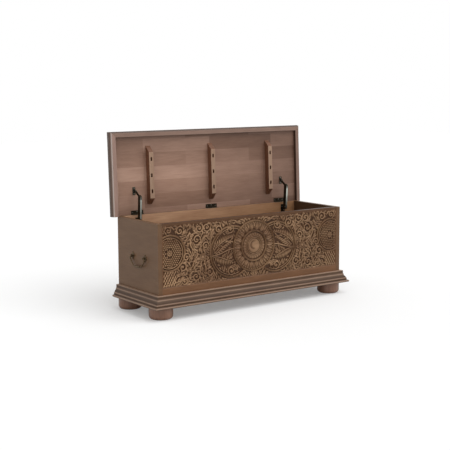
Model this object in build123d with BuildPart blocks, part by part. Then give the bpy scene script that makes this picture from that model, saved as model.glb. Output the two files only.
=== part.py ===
from build123d import *
import os
from math import cos, radians, sin, tan

os.makedirs("parts", exist_ok=True)

# A carved blanket chest on bun feet, in millimetres. +X runs along its length, +Y towards its back
# and +Z up. The origin is on the floor, under the middle of the chest's outline with its lid open.

# Box ------------------------------------------------------------------------------------------
box_length = 1200.0
box_depth = 400.0
wall_height = 427.5
front_thickness = 26.0
end_thickness = 22.0
back_thickness = 22.0
bottom_thickness = 12.0
bottom_lift = 45.0  # from the walls' lower edges up to the bottom board
shrink_gap = 0.5  # room left round a board that lies between others
dowel_radius = 5.0
dowel_length = 40.0
dowel_in_end = 14.0  # how far a dowel goes into an end panel
dowel_margin = 60.0  # from a joint's end to its outermost dowel
dowels_per_joint = 4
cleat_size = 20.0
block_size = 80.0

# Carved front ---------------------------------------------------------------------------------
carve_depth = 8.0
carve_side_margin = 2.0
carve_top_margin = 9.0
carve_bottom_margin = 98.0  # the plain rail, from the wall's lower edge
rosette_height = 264.0  # its centre above the wall's lower edge
ring_width = 8.0
outer_ring_radius = 138.0
inner_ring_radius = 84.0
boss_radius = 35.0
petal_count = 16
petal_width = 12.0
petal_seat = 1.0  # how far a petal runs into the boss and the ring
side_ring_radius = 138.0
side_ring_offset = 146.0
side_ring_drop = 17.0  # its centre below the rosette's
side_leaf_length = 104.0
side_leaf_width = 46.0
side_leaf_offset = 198.0
side_leaf_spread = 56.0  # from the side ring's middle up to one leaf and down to the other
side_leaf_turn = 28.0  # degrees from level, the leaves' tips away from each other
flower_radius = 27.0
flower_offset = 330.0
flower_drop = 28.0
bud_radius = 18.0
bud_offset = 408.0
bud_drop = 84.0
end_ring_radius = 95.0
end_ring_offset = 530.0
end_ring_lift = 10.0
end_eye_radius = 37.0
ring_proud = 7.0  # height of the rings above the sunk ground
leaf_proud = 5.0  # height of the petals, flowers and leaves

# Plinth moulding, offsets out from the walls and heights above their lower edges ----------------
plinth_height = 65.5
cap_offset = 15.5
cap_height = 18.0
cap_round = 1.5
step_offset = 18.0
ogee_top = 44.0
ogee_bottom = 24.0
ogee_offset = 28.0
ogee_bow = 0.8  # how far each half of the ogee bows from a straight line
fillet_offset = 30.5
fillet_bottom = 13.5
nose_inner = 34.5
nose_height = 12.0

# Feet -----------------------------------------------------------------------------------------
foot_height = 62.0
foot_radius = 62.0
foot_round = 18.0
foot_top_round = 3.0
foot_inset_x = 41.0  # foot centre, in from the box's end
foot_inset_y = 47.0
bolt_radius = 5.0
bolt_in_foot = 32.0
bolt_in_block = 34.0

# Lid ------------------------------------------------------------------------------------------
lid_thickness = 25.0
lid_end_overhang = 32.5
lid_front_overhang = 40.5
lid_rear_overhang = 4.0  # past the hinge pins
lid_round = 6.0
lid_lean = 2.4  # degrees past upright when the lid stands open
lid_gap = 0.6  # between the closed lid and the box
rim_width = 27.0
rim_drop = 18.0
rim_round = 8.0
rim_setback = 2.0  # the board's edge stands this far past the rim
batten_inset = 200.0  # outer battens, in from the box's ends
batten_start = 48.0  # from the hinge pins
batten_length = 313.0
batten_width = 27.0
batten_depth = 33.0
batten_screw_step = 86.0
slot_length = 22.0
slot_width = 10.0
slot_depth = 20.0
shank_slot_length = 12.0

# Hinges ---------------------------------------------------------------------------------------
hinge_inset = 120.0  # outer hinges, in from the box's ends
hinge_length = 75.0
leaf_reach = 21.0  # from the pin's centre to the leaf's edge
leaf_thickness = 2.0
knuckle_radius = 4.0
knuckle_count = 5
knuckle_gap = 0.3
pin_radius = 2.0
pin_clear = 0.05
pin_behind = 0.5  # pin's centre behind the back panel
hinge_screw_length = 16.0
hinge_screw_spread = 27.0
hinge_screw_edge = 6.0  # middle screw, in from the leaf's edge
hinge_screw_stagger = 4.0  # outer screws, nearer the pin than the middle one

# Lid stays ------------------------------------------------------------------------------------
stay_inset = 108.0  # in from the box's ends
stay_forward = 45.0  # box pivot, in front of the hinge pins
stay_down = 30.0  # box pivot, below the hinge pins
stay_reach = 125.0  # lid pivot, from the hinge pins along the lid
stay_lift = 12.0  # lid pivot, out from the lid's underside
strap_thickness = 3.0
strap_gap = 0.5
arm_width = 24.0
arm_web_clear = 13.0  # from each pivot to the end of the arm's web
link_width = 13.0
ear_radius = 8.0
rivet_radius = 2.5
rivet_clear = 0.05
open_rivet_clear = 0.3
rivet_head_radius = 4.5
rivet_head = 1.5
bracket_width = 28.0
bracket_height = 46.0
bracket_top = 14.0  # from the hinge pins down to the box bracket's top
bracket_screw_step = 24.0
bracket_screw_reach = 8.5  # to each side of the ear
lid_bracket_width = 16.0
lid_bracket_height = 42.0
lid_bracket_screw_step = 29.0
ear_root = 28.0

# Handles --------------------------------------------------------------------------------------
handle_height = 301.0  # pivots above the floor
handle_forward = 14.0  # handle's centre, in front of the box's centre
handle_spacing = 118.0  # between the two lugs
plate_width = 32.0
plate_height = 42.0
plate_disc_radius = 12.0
plate_thickness = 2.5
lug_thickness = 8.0
lug_radius = 6.5
bail_standoff = 12.0
bail_radius = 3.2
bail_clear = 0.08
bail_side_gap = 1.8
bail_drop = 49.0
bail_leg = 18.0
bail_bottom_half = 38.0
bail_pin_bend = 5.0
bail_shoulder_bend = 20.0
bail_corner_bend = 22.0
grip_radius = 5.0
grip_length = 52.0
plate_screw_step = 30.0

# Screws ---------------------------------------------------------------------------------------
sink_angle = 82.0
small_shank = 1.6
small_head = 3.2
bracket_screw_length = 12.0
batten_shank = 2.2
batten_head = 4.2
batten_screw_length = 30.0
round_head_height = 1.8
round_head_round = 1.1
drive_slot = 0.8
bore_clear = 0.1

# Places worked out from the sizes above ---------------------------------------------------------
half_length = box_length / 2
inner_half = half_length - end_thickness
wall_bottom = foot_height
wall_top = wall_bottom + wall_height
nose_offset = nose_inner + nose_height / 2
lean = radians(lid_lean)
lid_free = box_depth + pin_behind + lid_front_overhang  # pins to the lid's free edge
lid_half = half_length + lid_end_overhang
lid_top = lid_gap / 2 + lid_thickness
lid_behind = (lid_free - lid_round) * sin(lean) + (lid_top - lid_round) * cos(lean) + lid_round
box_y = (nose_offset - pin_behind - lid_behind) / 2
front_face = box_y - box_depth / 2
back_face = box_y + box_depth / 2
front_inner = front_face + front_thickness
back_inner = back_face - back_thickness
hinge_y = back_face + pin_behind
hinge_z = wall_top + lid_gap / 2
bottom_under = wall_bottom + bottom_lift
hinge_places = (-(half_length - hinge_inset), 0.0, half_length - hinge_inset)
batten_places = (-(half_length - batten_inset), 0.0, half_length - batten_inset)
sides = {"left": -1, "right": 1}

front_plane = Plane(origin=(0, front_face, 0), x_dir=(1, 0, 0), z_dir=(0, -1, 0))
# The open lid's own frame: x along the pins, y from the pins to the free edge, z out of its underside
lid_plane = Plane(origin=(0, hinge_y, hinge_z), x_dir=(1, 0, 0), z_dir=(0, -cos(lean), sin(lean)))
lid_section = Plane(origin=lid_plane.origin, x_dir=lid_plane.y_dir, z_dir=lid_plane.x_dir)
lid_cross = Plane(origin=lid_plane.origin, x_dir=lid_plane.x_dir, z_dir=-lid_plane.y_dir)
# The same kind of frame for the leaves on the box: y forwards from the pins, z up
box_leaf_plane = Plane(origin=(0, hinge_y, hinge_z), x_dir=(-1, 0, 0), z_dir=(0, 0, 1))
back_wall_plane = Plane(origin=(0, back_inner, 0), x_dir=(1, 0, 0), z_dir=(0, -1, 0))


def finish(piece, name):
    """Labels a finished piece and writes it to its own file."""
    piece.part.label = name
    export_step(piece.part, f"parts/{name}.step")


def on(plane, *points):
    """Locations of points given in a plane's own x and y, facing along its normal."""
    return Locations(*[plane.location * Location((x, y, 0)) for x, y in points])


def flat_screw(shank, head, length, clear=0.0):
    """Countersunk screw with its face at z = 0 and its point down, or with clear the bore for it."""
    sink = (head - shank) / tan(radians(sink_angle / 2))
    with BuildPart() as screw:
        with BuildSketch(Plane.XZ):
            with BuildLine():
                Polyline(
                    (0, 0),
                    (head + clear, 0),
                    (shank + clear, -sink),
                    (shank + clear, shank - length),
                    (0, -length - clear),
                    close=True,
                )
            make_face()
        revolve(axis=Axis.Z)
        if not clear:
            Box(2 * head, drive_slot, 2 * drive_slot, mode=Mode.SUBTRACT)
    return screw.part


def round_screw(shank, head, length, clear=0.0):
    """Round-headed screw seated at z = 0 with its point down, or with clear the bore for its shank."""
    with BuildPart() as screw:
        with BuildSketch(Plane.XZ):
            with BuildLine():
                Polyline(
                    (0, 0),
                    (shank + clear, 0),
                    (shank + clear, shank - length),
                    (0, -length - clear),
                    close=True,
                )
            make_face()
        revolve(axis=Axis.Z)
        if not clear:
            Cylinder(head, round_head_height, align=(Align.CENTER, Align.CENTER, Align.MIN))
            fillet(screw.edges().sort_by(Axis.Z)[-1], round_head_round)
            with Locations((0, 0, round_head_height)):
                Box(2 * head, drive_slot, drive_slot, mode=Mode.SUBTRACT)
    return screw.part


def slab(x0, x1, y0, y1, z0, z1):
    """An upright board between the given limits, added to the piece being built."""
    with Locations(((x0 + x1) / 2, (y0 + y1) / 2, (z0 + z1) / 2)):
        Box(x1 - x0, y1 - y0, z1 - z0)


# Bores shared by the boards and what goes through them -------------------------------------------
dowel_rows = [
    wall_bottom + dowel_margin + row * (wall_height - 2 * dowel_margin) / (dowels_per_joint - 1)
    for row in range(dowels_per_joint)
]
dowel_rows_y = (
    front_face + (carve_depth + front_thickness) / 2,  # midway between the sunk ground and the inside
    back_face - back_thickness / 2,
)
dowel_points = [(y, z) for y in dowel_rows_y for z in dowel_rows]
dowel_start = inner_half + dowel_in_end - dowel_length


def dowel_set(radius, extra):
    """Dowels across both ends' joints, or with an extra length their bores."""
    with BuildPart() as dowels:
        for side in sides.values():
            with BuildSketch(Plane.YZ.offset(side * (dowel_start - extra))):
                with Locations(*dowel_points):
                    Circle(radius)
            extrude(amount=side * (dowel_length + 2 * extra))
    return dowels.part


dowel_bores = dowel_set(dowel_radius + bore_clear, bore_clear)

# Hinge screws: three to a leaf, the middle one nearer the leaf's edge
middle_screw_y = leaf_reach - hinge_screw_edge
outer_screw_y = middle_screw_y - hinge_screw_stagger
leaf_screw_points = [
    (-hinge_screw_spread, outer_screw_y),
    (0, middle_screw_y),
    (hinge_screw_spread, outer_screw_y),
]


def leaf_screws(plane, clear=0.0):
    """The screws through all the leaves on one side of the hinges, or their bores."""
    screw = flat_screw(small_shank, small_head, hinge_screw_length, clear)
    with BuildPart() as screws:
        for place in hinge_places:
            with on(plane.offset(-lid_gap / 2), *[(place + x, y) for x, y in leaf_screw_points]):
                add(screw)
    return screws.part


def leaf_mortises(plane):
    """Recesses for the leaves and knuckles in the wood that carries them."""
    with BuildPart() as mortises:
        for place in hinge_places:
            with BuildSketch(plane.offset(-lid_gap / 2 - leaf_thickness)):
                with Locations((place, (leaf_reach + bore_clear) / 2)):
                    Rectangle(hinge_length + 2 * bore_clear, leaf_reach + bore_clear)
            extrude(amount=leaf_thickness)
            start = plane.from_local_coords((place - hinge_length / 2 - knuckle_gap, 0, 0))
            with BuildSketch(Plane(origin=start, z_dir=plane.x_dir)):
                Circle(knuckle_radius + knuckle_gap)
            extrude(amount=hinge_length + 2 * knuckle_gap)
    return mortises.part


# Stay brackets: their screws on the back panel and on the lid
stay_screw_top = hinge_z - bracket_top - (bracket_height - bracket_screw_step) / 2
strap_pitch = strap_thickness + strap_gap
stay_x = half_length - stay_inset  # middle layer: the box bracket's ear and the link, inside the arm
lid_ear_x = stay_x + strap_pitch  # the lid bracket's ear, in line with the arm's outer flange
box_screw_points = [
    (side * stay_x + reach, stay_screw_top - drop)
    for side in sides.values()
    for reach, drop in ((-bracket_screw_reach, 0), (bracket_screw_reach, bracket_screw_step))
]
lid_screw_points = [
    (side * lid_ear_x, stay_reach + along)
    for side in sides.values()
    for along in (-lid_bracket_screw_step / 2, lid_bracket_screw_step / 2)
]


def bracket_screws(plane, points, clear=0.0):
    """Countersunk screws through the stay brackets' plates, or their bores."""
    screw = flat_screw(small_shank, small_head, bracket_screw_length, clear)
    with BuildPart() as screws:
        with on(plane.offset(strap_thickness), *points):
            add(screw)
    return screws.part


# Batten screws, three to a batten, seated at the bottoms of slotted counterbores
batten_middle = batten_start + batten_length / 2
batten_screw_points = [
    (place, batten_middle + row * batten_screw_step) for place in batten_places for row in (-1, 0, 1)
]
batten_seat = batten_depth - slot_depth  # screw heads' seats above the lid's underside


def batten_screw_set(clear=0.0):
    """Round-headed screws that hold the battens, or their bores in the lid."""
    screw = round_screw(batten_shank, batten_head, batten_screw_length, clear)
    with BuildPart() as screws:
        with on(lid_plane.offset(batten_seat - lid_gap / 2), *batten_screw_points):
            add(screw)
    return screws.part


# Handle screws, two to a plate, on both ends
handle_planes = {
    name: Plane(
        origin=(side * half_length, box_y - handle_forward, handle_height),
        x_dir=(0, side, 0),
        z_dir=(side, 0, 0),
    )
    for name, side in sides.items()
}
plate_screw_points = [
    (across * handle_spacing / 2, up * plate_screw_step / 2) for across in (-1, 1) for up in (-1, 1)
]


def handle_screw_set(plane, clear=0.0):
    """Round-headed screws through one handle's plates, or their bores."""
    screw = round_screw(small_shank, small_head, bracket_screw_length, clear)
    with BuildPart() as screws:
        with on(plane.offset(plate_thickness), *plate_screw_points):
            add(screw)
    return screws.part


# Walls ------------------------------------------------------------------------------------------
for name, side in sides.items():
    with BuildPart() as end_panel:
        inner, outer = sorted((side * inner_half, side * half_length))
        slab(inner, outer, front_face, back_face, wall_bottom, wall_top)
        add(dowel_bores, mode=Mode.SUBTRACT)
        add(handle_screw_set(handle_planes[name], bore_clear), mode=Mode.SUBTRACT)
    finish(end_panel, f"{name}_end_panel")

field_half = inner_half - carve_side_margin
field_low = wall_bottom + carve_bottom_margin
field_high = wall_top - carve_top_margin
field_middle = (field_low + field_high) / 2
rosette_z = wall_bottom + rosette_height
ground_plane = front_plane.offset(-carve_depth)
petal_inner = boss_radius - petal_seat
petal_outer = inner_ring_radius - ring_width + petal_seat
side_ring_z = rosette_z - side_ring_drop
end_ring_z = rosette_z + end_ring_lift


def field(mode):
    """The carved field's rectangle, added to the sketch being drawn or used to trim it."""
    with Locations((0, field_middle)):
        Rectangle(2 * field_half, field_high - field_low, mode=mode)


def ring(x, z, radius):
    """A raised ring of the carving."""
    with Locations((x, z)):
        Circle(radius)
        Circle(radius - ring_width, mode=Mode.SUBTRACT)


with BuildPart() as front_panel:
    slab(-inner_half, inner_half, front_face, front_inner, wall_bottom, wall_top)
    with BuildSketch(front_plane):
        field(Mode.ADD)
    extrude(amount=-carve_depth, mode=Mode.SUBTRACT)
    with BuildSketch(ground_plane):
        for side in sides.values():
            ring(side * side_ring_offset, side_ring_z, side_ring_radius)
            ring(side * end_ring_offset, end_ring_z, end_ring_radius)
        with Locations((0, rosette_z)):
            Circle(outer_ring_radius, mode=Mode.SUBTRACT)
        ring(0, rosette_z, outer_ring_radius)
        ring(0, rosette_z, inner_ring_radius)
        field(Mode.INTERSECT)
    extrude(amount=ring_proud)
    with BuildSketch(ground_plane):
        with Locations((0, rosette_z)):
            Circle(boss_radius)
            with PolarLocations((petal_inner + petal_outer) / 2, petal_count):
                Ellipse((petal_outer - petal_inner) / 2, petal_width / 2)
        for side in sides.values():
            for up in (-1, 1):
                with Locations((side * side_leaf_offset, side_ring_z + up * side_leaf_spread)):
                    turn = -side * up * side_leaf_turn
                    Ellipse(side_leaf_length / 2, side_leaf_width / 2, rotation=turn)
            with Locations((side * flower_offset, rosette_z - flower_drop)):
                Circle(flower_radius)
            with Locations((side * bud_offset, rosette_z - bud_drop)):
                Circle(bud_radius)
            with Locations((side * end_ring_offset, end_ring_z)):
                Circle(end_eye_radius)
        field(Mode.INTERSECT)
    extrude(amount=leaf_proud)
    add(dowel_bores, mode=Mode.SUBTRACT)
finish(front_panel, "front_panel")

with BuildPart() as back_panel:
    slab(-inner_half, inner_half, back_inner, back_face, wall_bottom, wall_top)
    add(dowel_bores, mode=Mode.SUBTRACT)
    add(leaf_mortises(box_leaf_plane), mode=Mode.SUBTRACT)
    add(leaf_screws(box_leaf_plane, bore_clear), mode=Mode.SUBTRACT)
    add(bracket_screws(back_wall_plane, box_screw_points, bore_clear), mode=Mode.SUBTRACT)
finish(back_panel, "back_panel")

with BuildPart() as corner_dowels:
    add(dowel_set(dowel_radius, 0))
finish(corner_dowels, "corner_dowels")

# Bottom board, with the cleats and corner blocks that carry it -------------------------------------
with BuildPart() as bottom_panel:
    slab(
        shrink_gap - inner_half,
        inner_half - shrink_gap,
        front_inner + shrink_gap,
        back_inner - shrink_gap,
        bottom_under,
        bottom_under + bottom_thickness,
    )
finish(bottom_panel, "bottom_panel")

feet = {
    "front_left": (-(half_length - foot_inset_x), front_face + foot_inset_y),
    "front_right": (half_length - foot_inset_x, front_face + foot_inset_y),
    "back_left": (-(half_length - foot_inset_x), back_face - foot_inset_y),
    "back_right": (half_length - foot_inset_x, back_face - foot_inset_y),
}


def foot_bolts(radius, extra):
    """Bolts from the feet up into the corner blocks, or with an extra length their bores."""
    with BuildPart() as bolts:
        with BuildSketch(Plane.XY.offset(foot_height - bolt_in_foot - extra)):
            with Locations(*feet.values()):
                Circle(radius)
        extrude(amount=bolt_in_foot + bolt_in_block + 2 * extra)
    return bolts.part


bolt_bores = foot_bolts(bolt_radius + bore_clear, bore_clear)

for name, (foot_x, foot_y) in feet.items():
    block_x = -inner_half if name.endswith("left") else inner_half - block_size
    block_y = front_inner if name.startswith("front") else back_inner - block_size
    with BuildPart() as corner_block:
        slab(block_x, block_x + block_size, block_y, block_y + block_size, wall_bottom, bottom_under)
        add(bolt_bores, mode=Mode.SUBTRACT)
    finish(corner_block, f"corner_block_{name}")

    with BuildPart() as foot:
        with BuildSketch(Plane(origin=(foot_x, foot_y, 0), x_dir=(1, 0, 0), z_dir=(0, -1, 0))) as profile:
            Rectangle(foot_radius, foot_height, align=(Align.MIN, Align.MIN))
            rim_points = profile.vertices().group_by(Axis.X)[-1].sort_by(Axis.Y)
            fillet(rim_points[0], foot_round)
            fillet(rim_points[-1], foot_top_round)
        revolve(axis=Axis((foot_x, foot_y, 0), (0, 0, 1)))
        add(bolt_bores, mode=Mode.SUBTRACT)
    finish(foot, f"foot_{name}")

with BuildPart() as bolt_group:
    add(foot_bolts(bolt_radius, 0))
finish(bolt_group, "foot_bolts")

cleat_low = bottom_under - cleat_size
cleat_run_x = inner_half - block_size
cleats = {
    "cleat_front": (-cleat_run_x, cleat_run_x, front_inner, front_inner + cleat_size),
    "cleat_back": (-cleat_run_x, cleat_run_x, back_inner - cleat_size, back_inner),
    "cleat_left": (-inner_half, cleat_size - inner_half, front_inner + block_size, back_inner - block_size),
    "cleat_right": (inner_half - cleat_size, inner_half, front_inner + block_size, back_inner - block_size),
}
for name, (x0, x1, y0, y1) in cleats.items():
    with BuildPart() as cleat:
        slab(x0, x1, y0, y1, cleat_low, bottom_under)
    finish(cleat, name)


# Plinth moulding, mitred at the front corners -------------------------------------------------------
def plinth_profile():
    """The moulding's section: x out from the wall and y up from its lower edge."""
    ogee_mid_x = (step_offset + ogee_offset) / 2
    ogee_mid_y = (ogee_top + ogee_bottom) / 2
    nose_mid = nose_height / 2
    cap_top = (cap_offset - cap_round, plinth_height)
    cap_side = (cap_offset, plinth_height - cap_round)
    with BuildSketch() as section:
        with BuildLine():
            Polyline((0, 0), (0, plinth_height), cap_top)
            RadiusArc(cap_top, cap_side, cap_round)
            Polyline(
                cap_side,
                (cap_offset, plinth_height - cap_height),
                (step_offset, plinth_height - cap_height),
                (step_offset, ogee_top),
            )
            SagittaArc((step_offset, ogee_top), (ogee_mid_x, ogee_mid_y), -ogee_bow)
            SagittaArc((ogee_mid_x, ogee_mid_y), (ogee_offset, ogee_bottom), ogee_bow)
            Polyline(
                (ogee_offset, ogee_bottom),
                (fillet_offset, ogee_bottom),
                (fillet_offset, fillet_bottom),
                (nose_inner, nose_height),
            )
            ThreePointArc((nose_inner, nose_height), (nose_offset, nose_mid), (nose_inner, 0))
            Line((nose_inner, 0), (0, 0))
        make_face()
    return section.sketch


plinth_half = half_length + nose_offset
mitres = {
    name: Plane(origin=(side * half_length, front_face, 0), z_dir=(-side, -1, 0))
    for name, side in sides.items()
}
with BuildPart() as plinth_front:
    run = Plane(origin=(plinth_half, front_face, wall_bottom), x_dir=(0, -1, 0), z_dir=(-1, 0, 0))
    with BuildSketch(run):
        add(plinth_profile())
    extrude(amount=2 * plinth_half)
    for mitre in mitres.values():
        split(bisect_by=mitre, keep=Keep.TOP)
finish(plinth_front, "plinth_front")

for name, side in sides.items():
    start = (side * half_length, back_face, wall_bottom)
    with BuildPart() as plinth_side:
        with BuildSketch(Plane(origin=start, x_dir=(side, 0, 0), z_dir=(0, -side, 0))):
            add(plinth_profile())
        extrude(amount=side * (box_depth + nose_offset))
        split(bisect_by=mitres[name], keep=Keep.BOTTOM)
    finish(plinth_side, f"plinth_{name}")

# Hinges -----------------------------------------------------------------------------------------
knuckle_pitch = (hinge_length + knuckle_gap) / knuckle_count
names_of_hinges = ("left", "middle", "right")


def hinge_leaf(plane, place, own, others):
    """A hinge leaf let into the wood, with its own knuckles and room for the other leaf's."""
    with BuildPart() as leaf:
        with BuildSketch(plane.offset(-lid_gap / 2 - leaf_thickness)):
            with Locations((place, leaf_reach / 2)):
                Rectangle(hinge_length, leaf_reach)
        extrude(amount=leaf_thickness)
        for knuckle in others:
            near = place - hinge_length / 2 + knuckle * knuckle_pitch - knuckle_gap
            with BuildSketch(Plane(origin=plane.from_local_coords((near, 0, 0)), z_dir=plane.x_dir)):
                Circle(knuckle_radius + knuckle_gap)
            extrude(amount=knuckle_pitch + knuckle_gap, mode=Mode.SUBTRACT)
        for knuckle in own:
            near = place - hinge_length / 2 + knuckle * knuckle_pitch
            with BuildSketch(Plane(origin=plane.from_local_coords((near, 0, 0)), z_dir=plane.x_dir)):
                Circle(knuckle_radius)
            extrude(amount=knuckle_pitch - knuckle_gap)
        start = plane.from_local_coords((place - hinge_length, 0, 0))
        with BuildSketch(Plane(origin=start, z_dir=plane.x_dir)):
            Circle(pin_radius + pin_clear)
        extrude(amount=2 * hinge_length, mode=Mode.SUBTRACT)
        add(leaf_screws(plane, bore_clear), mode=Mode.SUBTRACT)
    return leaf


for name, place in zip(names_of_hinges, hinge_places):
    box_leaf = hinge_leaf(box_leaf_plane, -place, range(0, knuckle_count, 2), range(1, knuckle_count, 2))
    finish(box_leaf, f"hinge_{name}_box_leaf")
    lid_leaf = hinge_leaf(lid_plane, place, range(1, knuckle_count, 2), range(0, knuckle_count, 2))
    finish(lid_leaf, f"hinge_{name}_lid_leaf")

with BuildPart() as hinge_pins:
    for place in hinge_places:
        with BuildSketch(Plane.YZ.offset(place - hinge_length / 2)):
            with Locations((hinge_y, hinge_z)):
                Circle(pin_radius)
        extrude(amount=hinge_length)
finish(hinge_pins, "hinge_pins")

with BuildPart() as hinge_box_screws:
    add(leaf_screws(box_leaf_plane))
finish(hinge_box_screws, "hinge_box_screws")
with BuildPart() as hinge_lid_screws:
    add(leaf_screws(lid_plane))
finish(hinge_lid_screws, "hinge_lid_screws")

# Lid ----------------------------------------------------------------------------------------------
underside = -lid_gap / 2
towards_free = Axis(lid_plane.origin, lid_plane.y_dir)
towards_top = Axis(lid_plane.origin, -lid_plane.z_dir)
lid_middle = (lid_free - lid_rear_overhang) / 2

with BuildPart() as lid_board:
    with BuildSketch(lid_plane.offset(underside)):
        with Locations((0, lid_middle)):
            Rectangle(2 * lid_half, lid_free + lid_rear_overhang)
    extrude(amount=-lid_thickness)
    top_edges = lid_board.faces().sort_by(towards_top)[-1].edges()
    fillet(top_edges.sort_by(towards_free)[1:], lid_round)
    add(leaf_mortises(lid_plane), mode=Mode.SUBTRACT)
    add(leaf_screws(lid_plane, bore_clear), mode=Mode.SUBTRACT)
    add(batten_screw_set(bore_clear), mode=Mode.SUBTRACT)
    add(bracket_screws(lid_plane.offset(underside), lid_screw_points, bore_clear), mode=Mode.SUBTRACT)
finish(lid_board, "lid_board")

rim_outer_x = lid_half - rim_setback
rim_outer_y = lid_free - rim_setback
rim_mitres = {
    name: Plane(
        origin=lid_plane.from_local_coords((side * rim_outer_x, rim_outer_y, 0)),
        z_dir=lid_plane.x_dir * -side + lid_plane.y_dir,
    )
    for name, side in sides.items()
}


def rim_profile(outward):
    """The rim's section, its rounded lower arris on the outward side of x = 0."""
    with BuildSketch() as section:
        with Locations((-outward * rim_width / 2, rim_drop / 2)):
            Rectangle(rim_width, rim_drop)
        corner = section.vertices().sort_by(Axis.Y)[-2:].sort_by(Axis.X)[0 if outward < 0 else -1]
        fillet(corner, rim_round)
    return section.sketch


front_rim_plane = Plane(
    origin=lid_plane.from_local_coords((-rim_outer_x, rim_outer_y, underside)),
    x_dir=lid_section.x_dir,
    z_dir=lid_section.z_dir,
)
with BuildPart() as lid_rim_front:
    with BuildSketch(front_rim_plane):
        add(rim_profile(1))
    extrude(amount=2 * rim_outer_x)
    for mitre in rim_mitres.values():
        split(bisect_by=mitre, keep=Keep.TOP)
finish(lid_rim_front, "lid_rim_front")

for name, side in sides.items():
    side_rim_plane = Plane(
        origin=lid_plane.from_local_coords((side * rim_outer_x, -lid_rear_overhang, underside)),
        x_dir=lid_cross.x_dir,
        z_dir=lid_cross.z_dir,
    )
    with BuildPart() as lid_rim_side:
        with BuildSketch(side_rim_plane):
            add(rim_profile(side))
        extrude(amount=-(rim_outer_y + lid_rear_overhang))
        split(bisect_by=rim_mitres[name], keep=Keep.BOTTOM)
    finish(lid_rim_side, f"lid_rim_{name}")

for name, place in zip(names_of_hinges, batten_places):
    with BuildPart() as batten:
        with BuildSketch(lid_section.offset(place - batten_width / 2)):
            with BuildLine():
                Polyline(
                    (batten_start, underside),
                    (batten_start + batten_length, underside),
                    (batten_start + batten_length - batten_depth, underside + batten_depth),
                    (batten_start + batten_depth, underside + batten_depth),
                    close=True,
                )
            make_face()
        extrude(amount=batten_width)
        slot_points = [point for point in batten_screw_points if point[0] == place]
        with BuildSketch(lid_plane.offset(underside + batten_depth)):
            with Locations(*slot_points):
                SlotOverall(slot_length, slot_width, rotation=90)
        extrude(amount=-slot_depth, mode=Mode.SUBTRACT)
        with BuildSketch(lid_plane.offset(underside + batten_depth)):
            with Locations(*slot_points):
                SlotOverall(shank_slot_length, 2 * (batten_shank + bore_clear), rotation=90)
        extrude(amount=-batten_depth, mode=Mode.SUBTRACT)
    finish(batten, f"batten_{name}")

with BuildPart() as batten_screws:
    add(batten_screw_set())
finish(batten_screws, "batten_screws")

# Lid stays: a four-bar linkage whose arm stays parallel to the line from the pins to the lid pivot ----
box_pivot = (hinge_y - stay_forward, hinge_z - stay_down)
lid_pivot_at = lid_plane.from_local_coords((0, stay_reach, stay_lift))
lid_pivot = (lid_pivot_at.Y, lid_pivot_at.Z)
elbow = (lid_pivot[0] - stay_forward, lid_pivot[1] - stay_down)


def strap(x, start, end, width, start_hole, end_hole):
    """A flat strap with round ends and a hole at each, centred on x."""
    middle = ((start[0] + end[0]) / 2, (start[1] + end[1]) / 2)
    with BuildPart() as piece:
        with BuildSketch(Plane.YZ.offset(x - strap_thickness / 2)):
            SlotCenterPoint(middle, end, width)
            with Locations(start):
                Circle(start_hole, mode=Mode.SUBTRACT)
            with Locations(end):
                Circle(end_hole, mode=Mode.SUBTRACT)
        extrude(amount=strap_thickness)
    return piece


def channel_arm(x, start, end):
    """A folded channel: two straps side by side, joined by a web along their front edges."""
    along = (Vector(*end) - Vector(*start)).normalized()
    front = along.rotate(Axis.Z, 90) * arm_width / 2
    back = along.rotate(Axis.Z, 90) * (arm_width / 2 - strap_thickness)
    low = Vector(*start) + along * arm_web_clear
    high = Vector(*end) - along * arm_web_clear
    with BuildPart() as arm:
        for offset in (-strap_pitch, strap_pitch):
            add(strap(x + offset, start, end, arm_width, rivet_hole, rivet_hole).part)
        with BuildSketch(Plane.YZ.offset(x - strap_pitch - strap_thickness / 2)):
            with BuildLine():
                Polyline(low + front, high + front, high + back, low + back, close=True)
            make_face()
        extrude(amount=2 * strap_pitch + strap_thickness)
    return arm


def rivet(point, x_low, x_high):
    """A rivet through straps that lie between two values of x, with a flat head at each end."""
    with BuildPart() as piece:
        with BuildSketch(Plane.YZ.offset(x_low - rivet_head)):
            with Locations(point):
                Circle(rivet_radius)
        extrude(amount=x_high - x_low + 2 * rivet_head)
        for x in (x_low - rivet_head, x_high):
            with BuildSketch(Plane.YZ.offset(x)):
                with Locations(point):
                    Circle(rivet_head_radius)
            extrude(amount=rivet_head)
    return piece


def layers(side, first, last):
    """Lowest and highest x of the straps from one layer to another, on one side of the chest."""
    inner = side * (first - strap_thickness / 2 - rivet_clear)
    outer = side * (last + strap_thickness / 2 + rivet_clear)
    return sorted((inner, outer))


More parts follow.
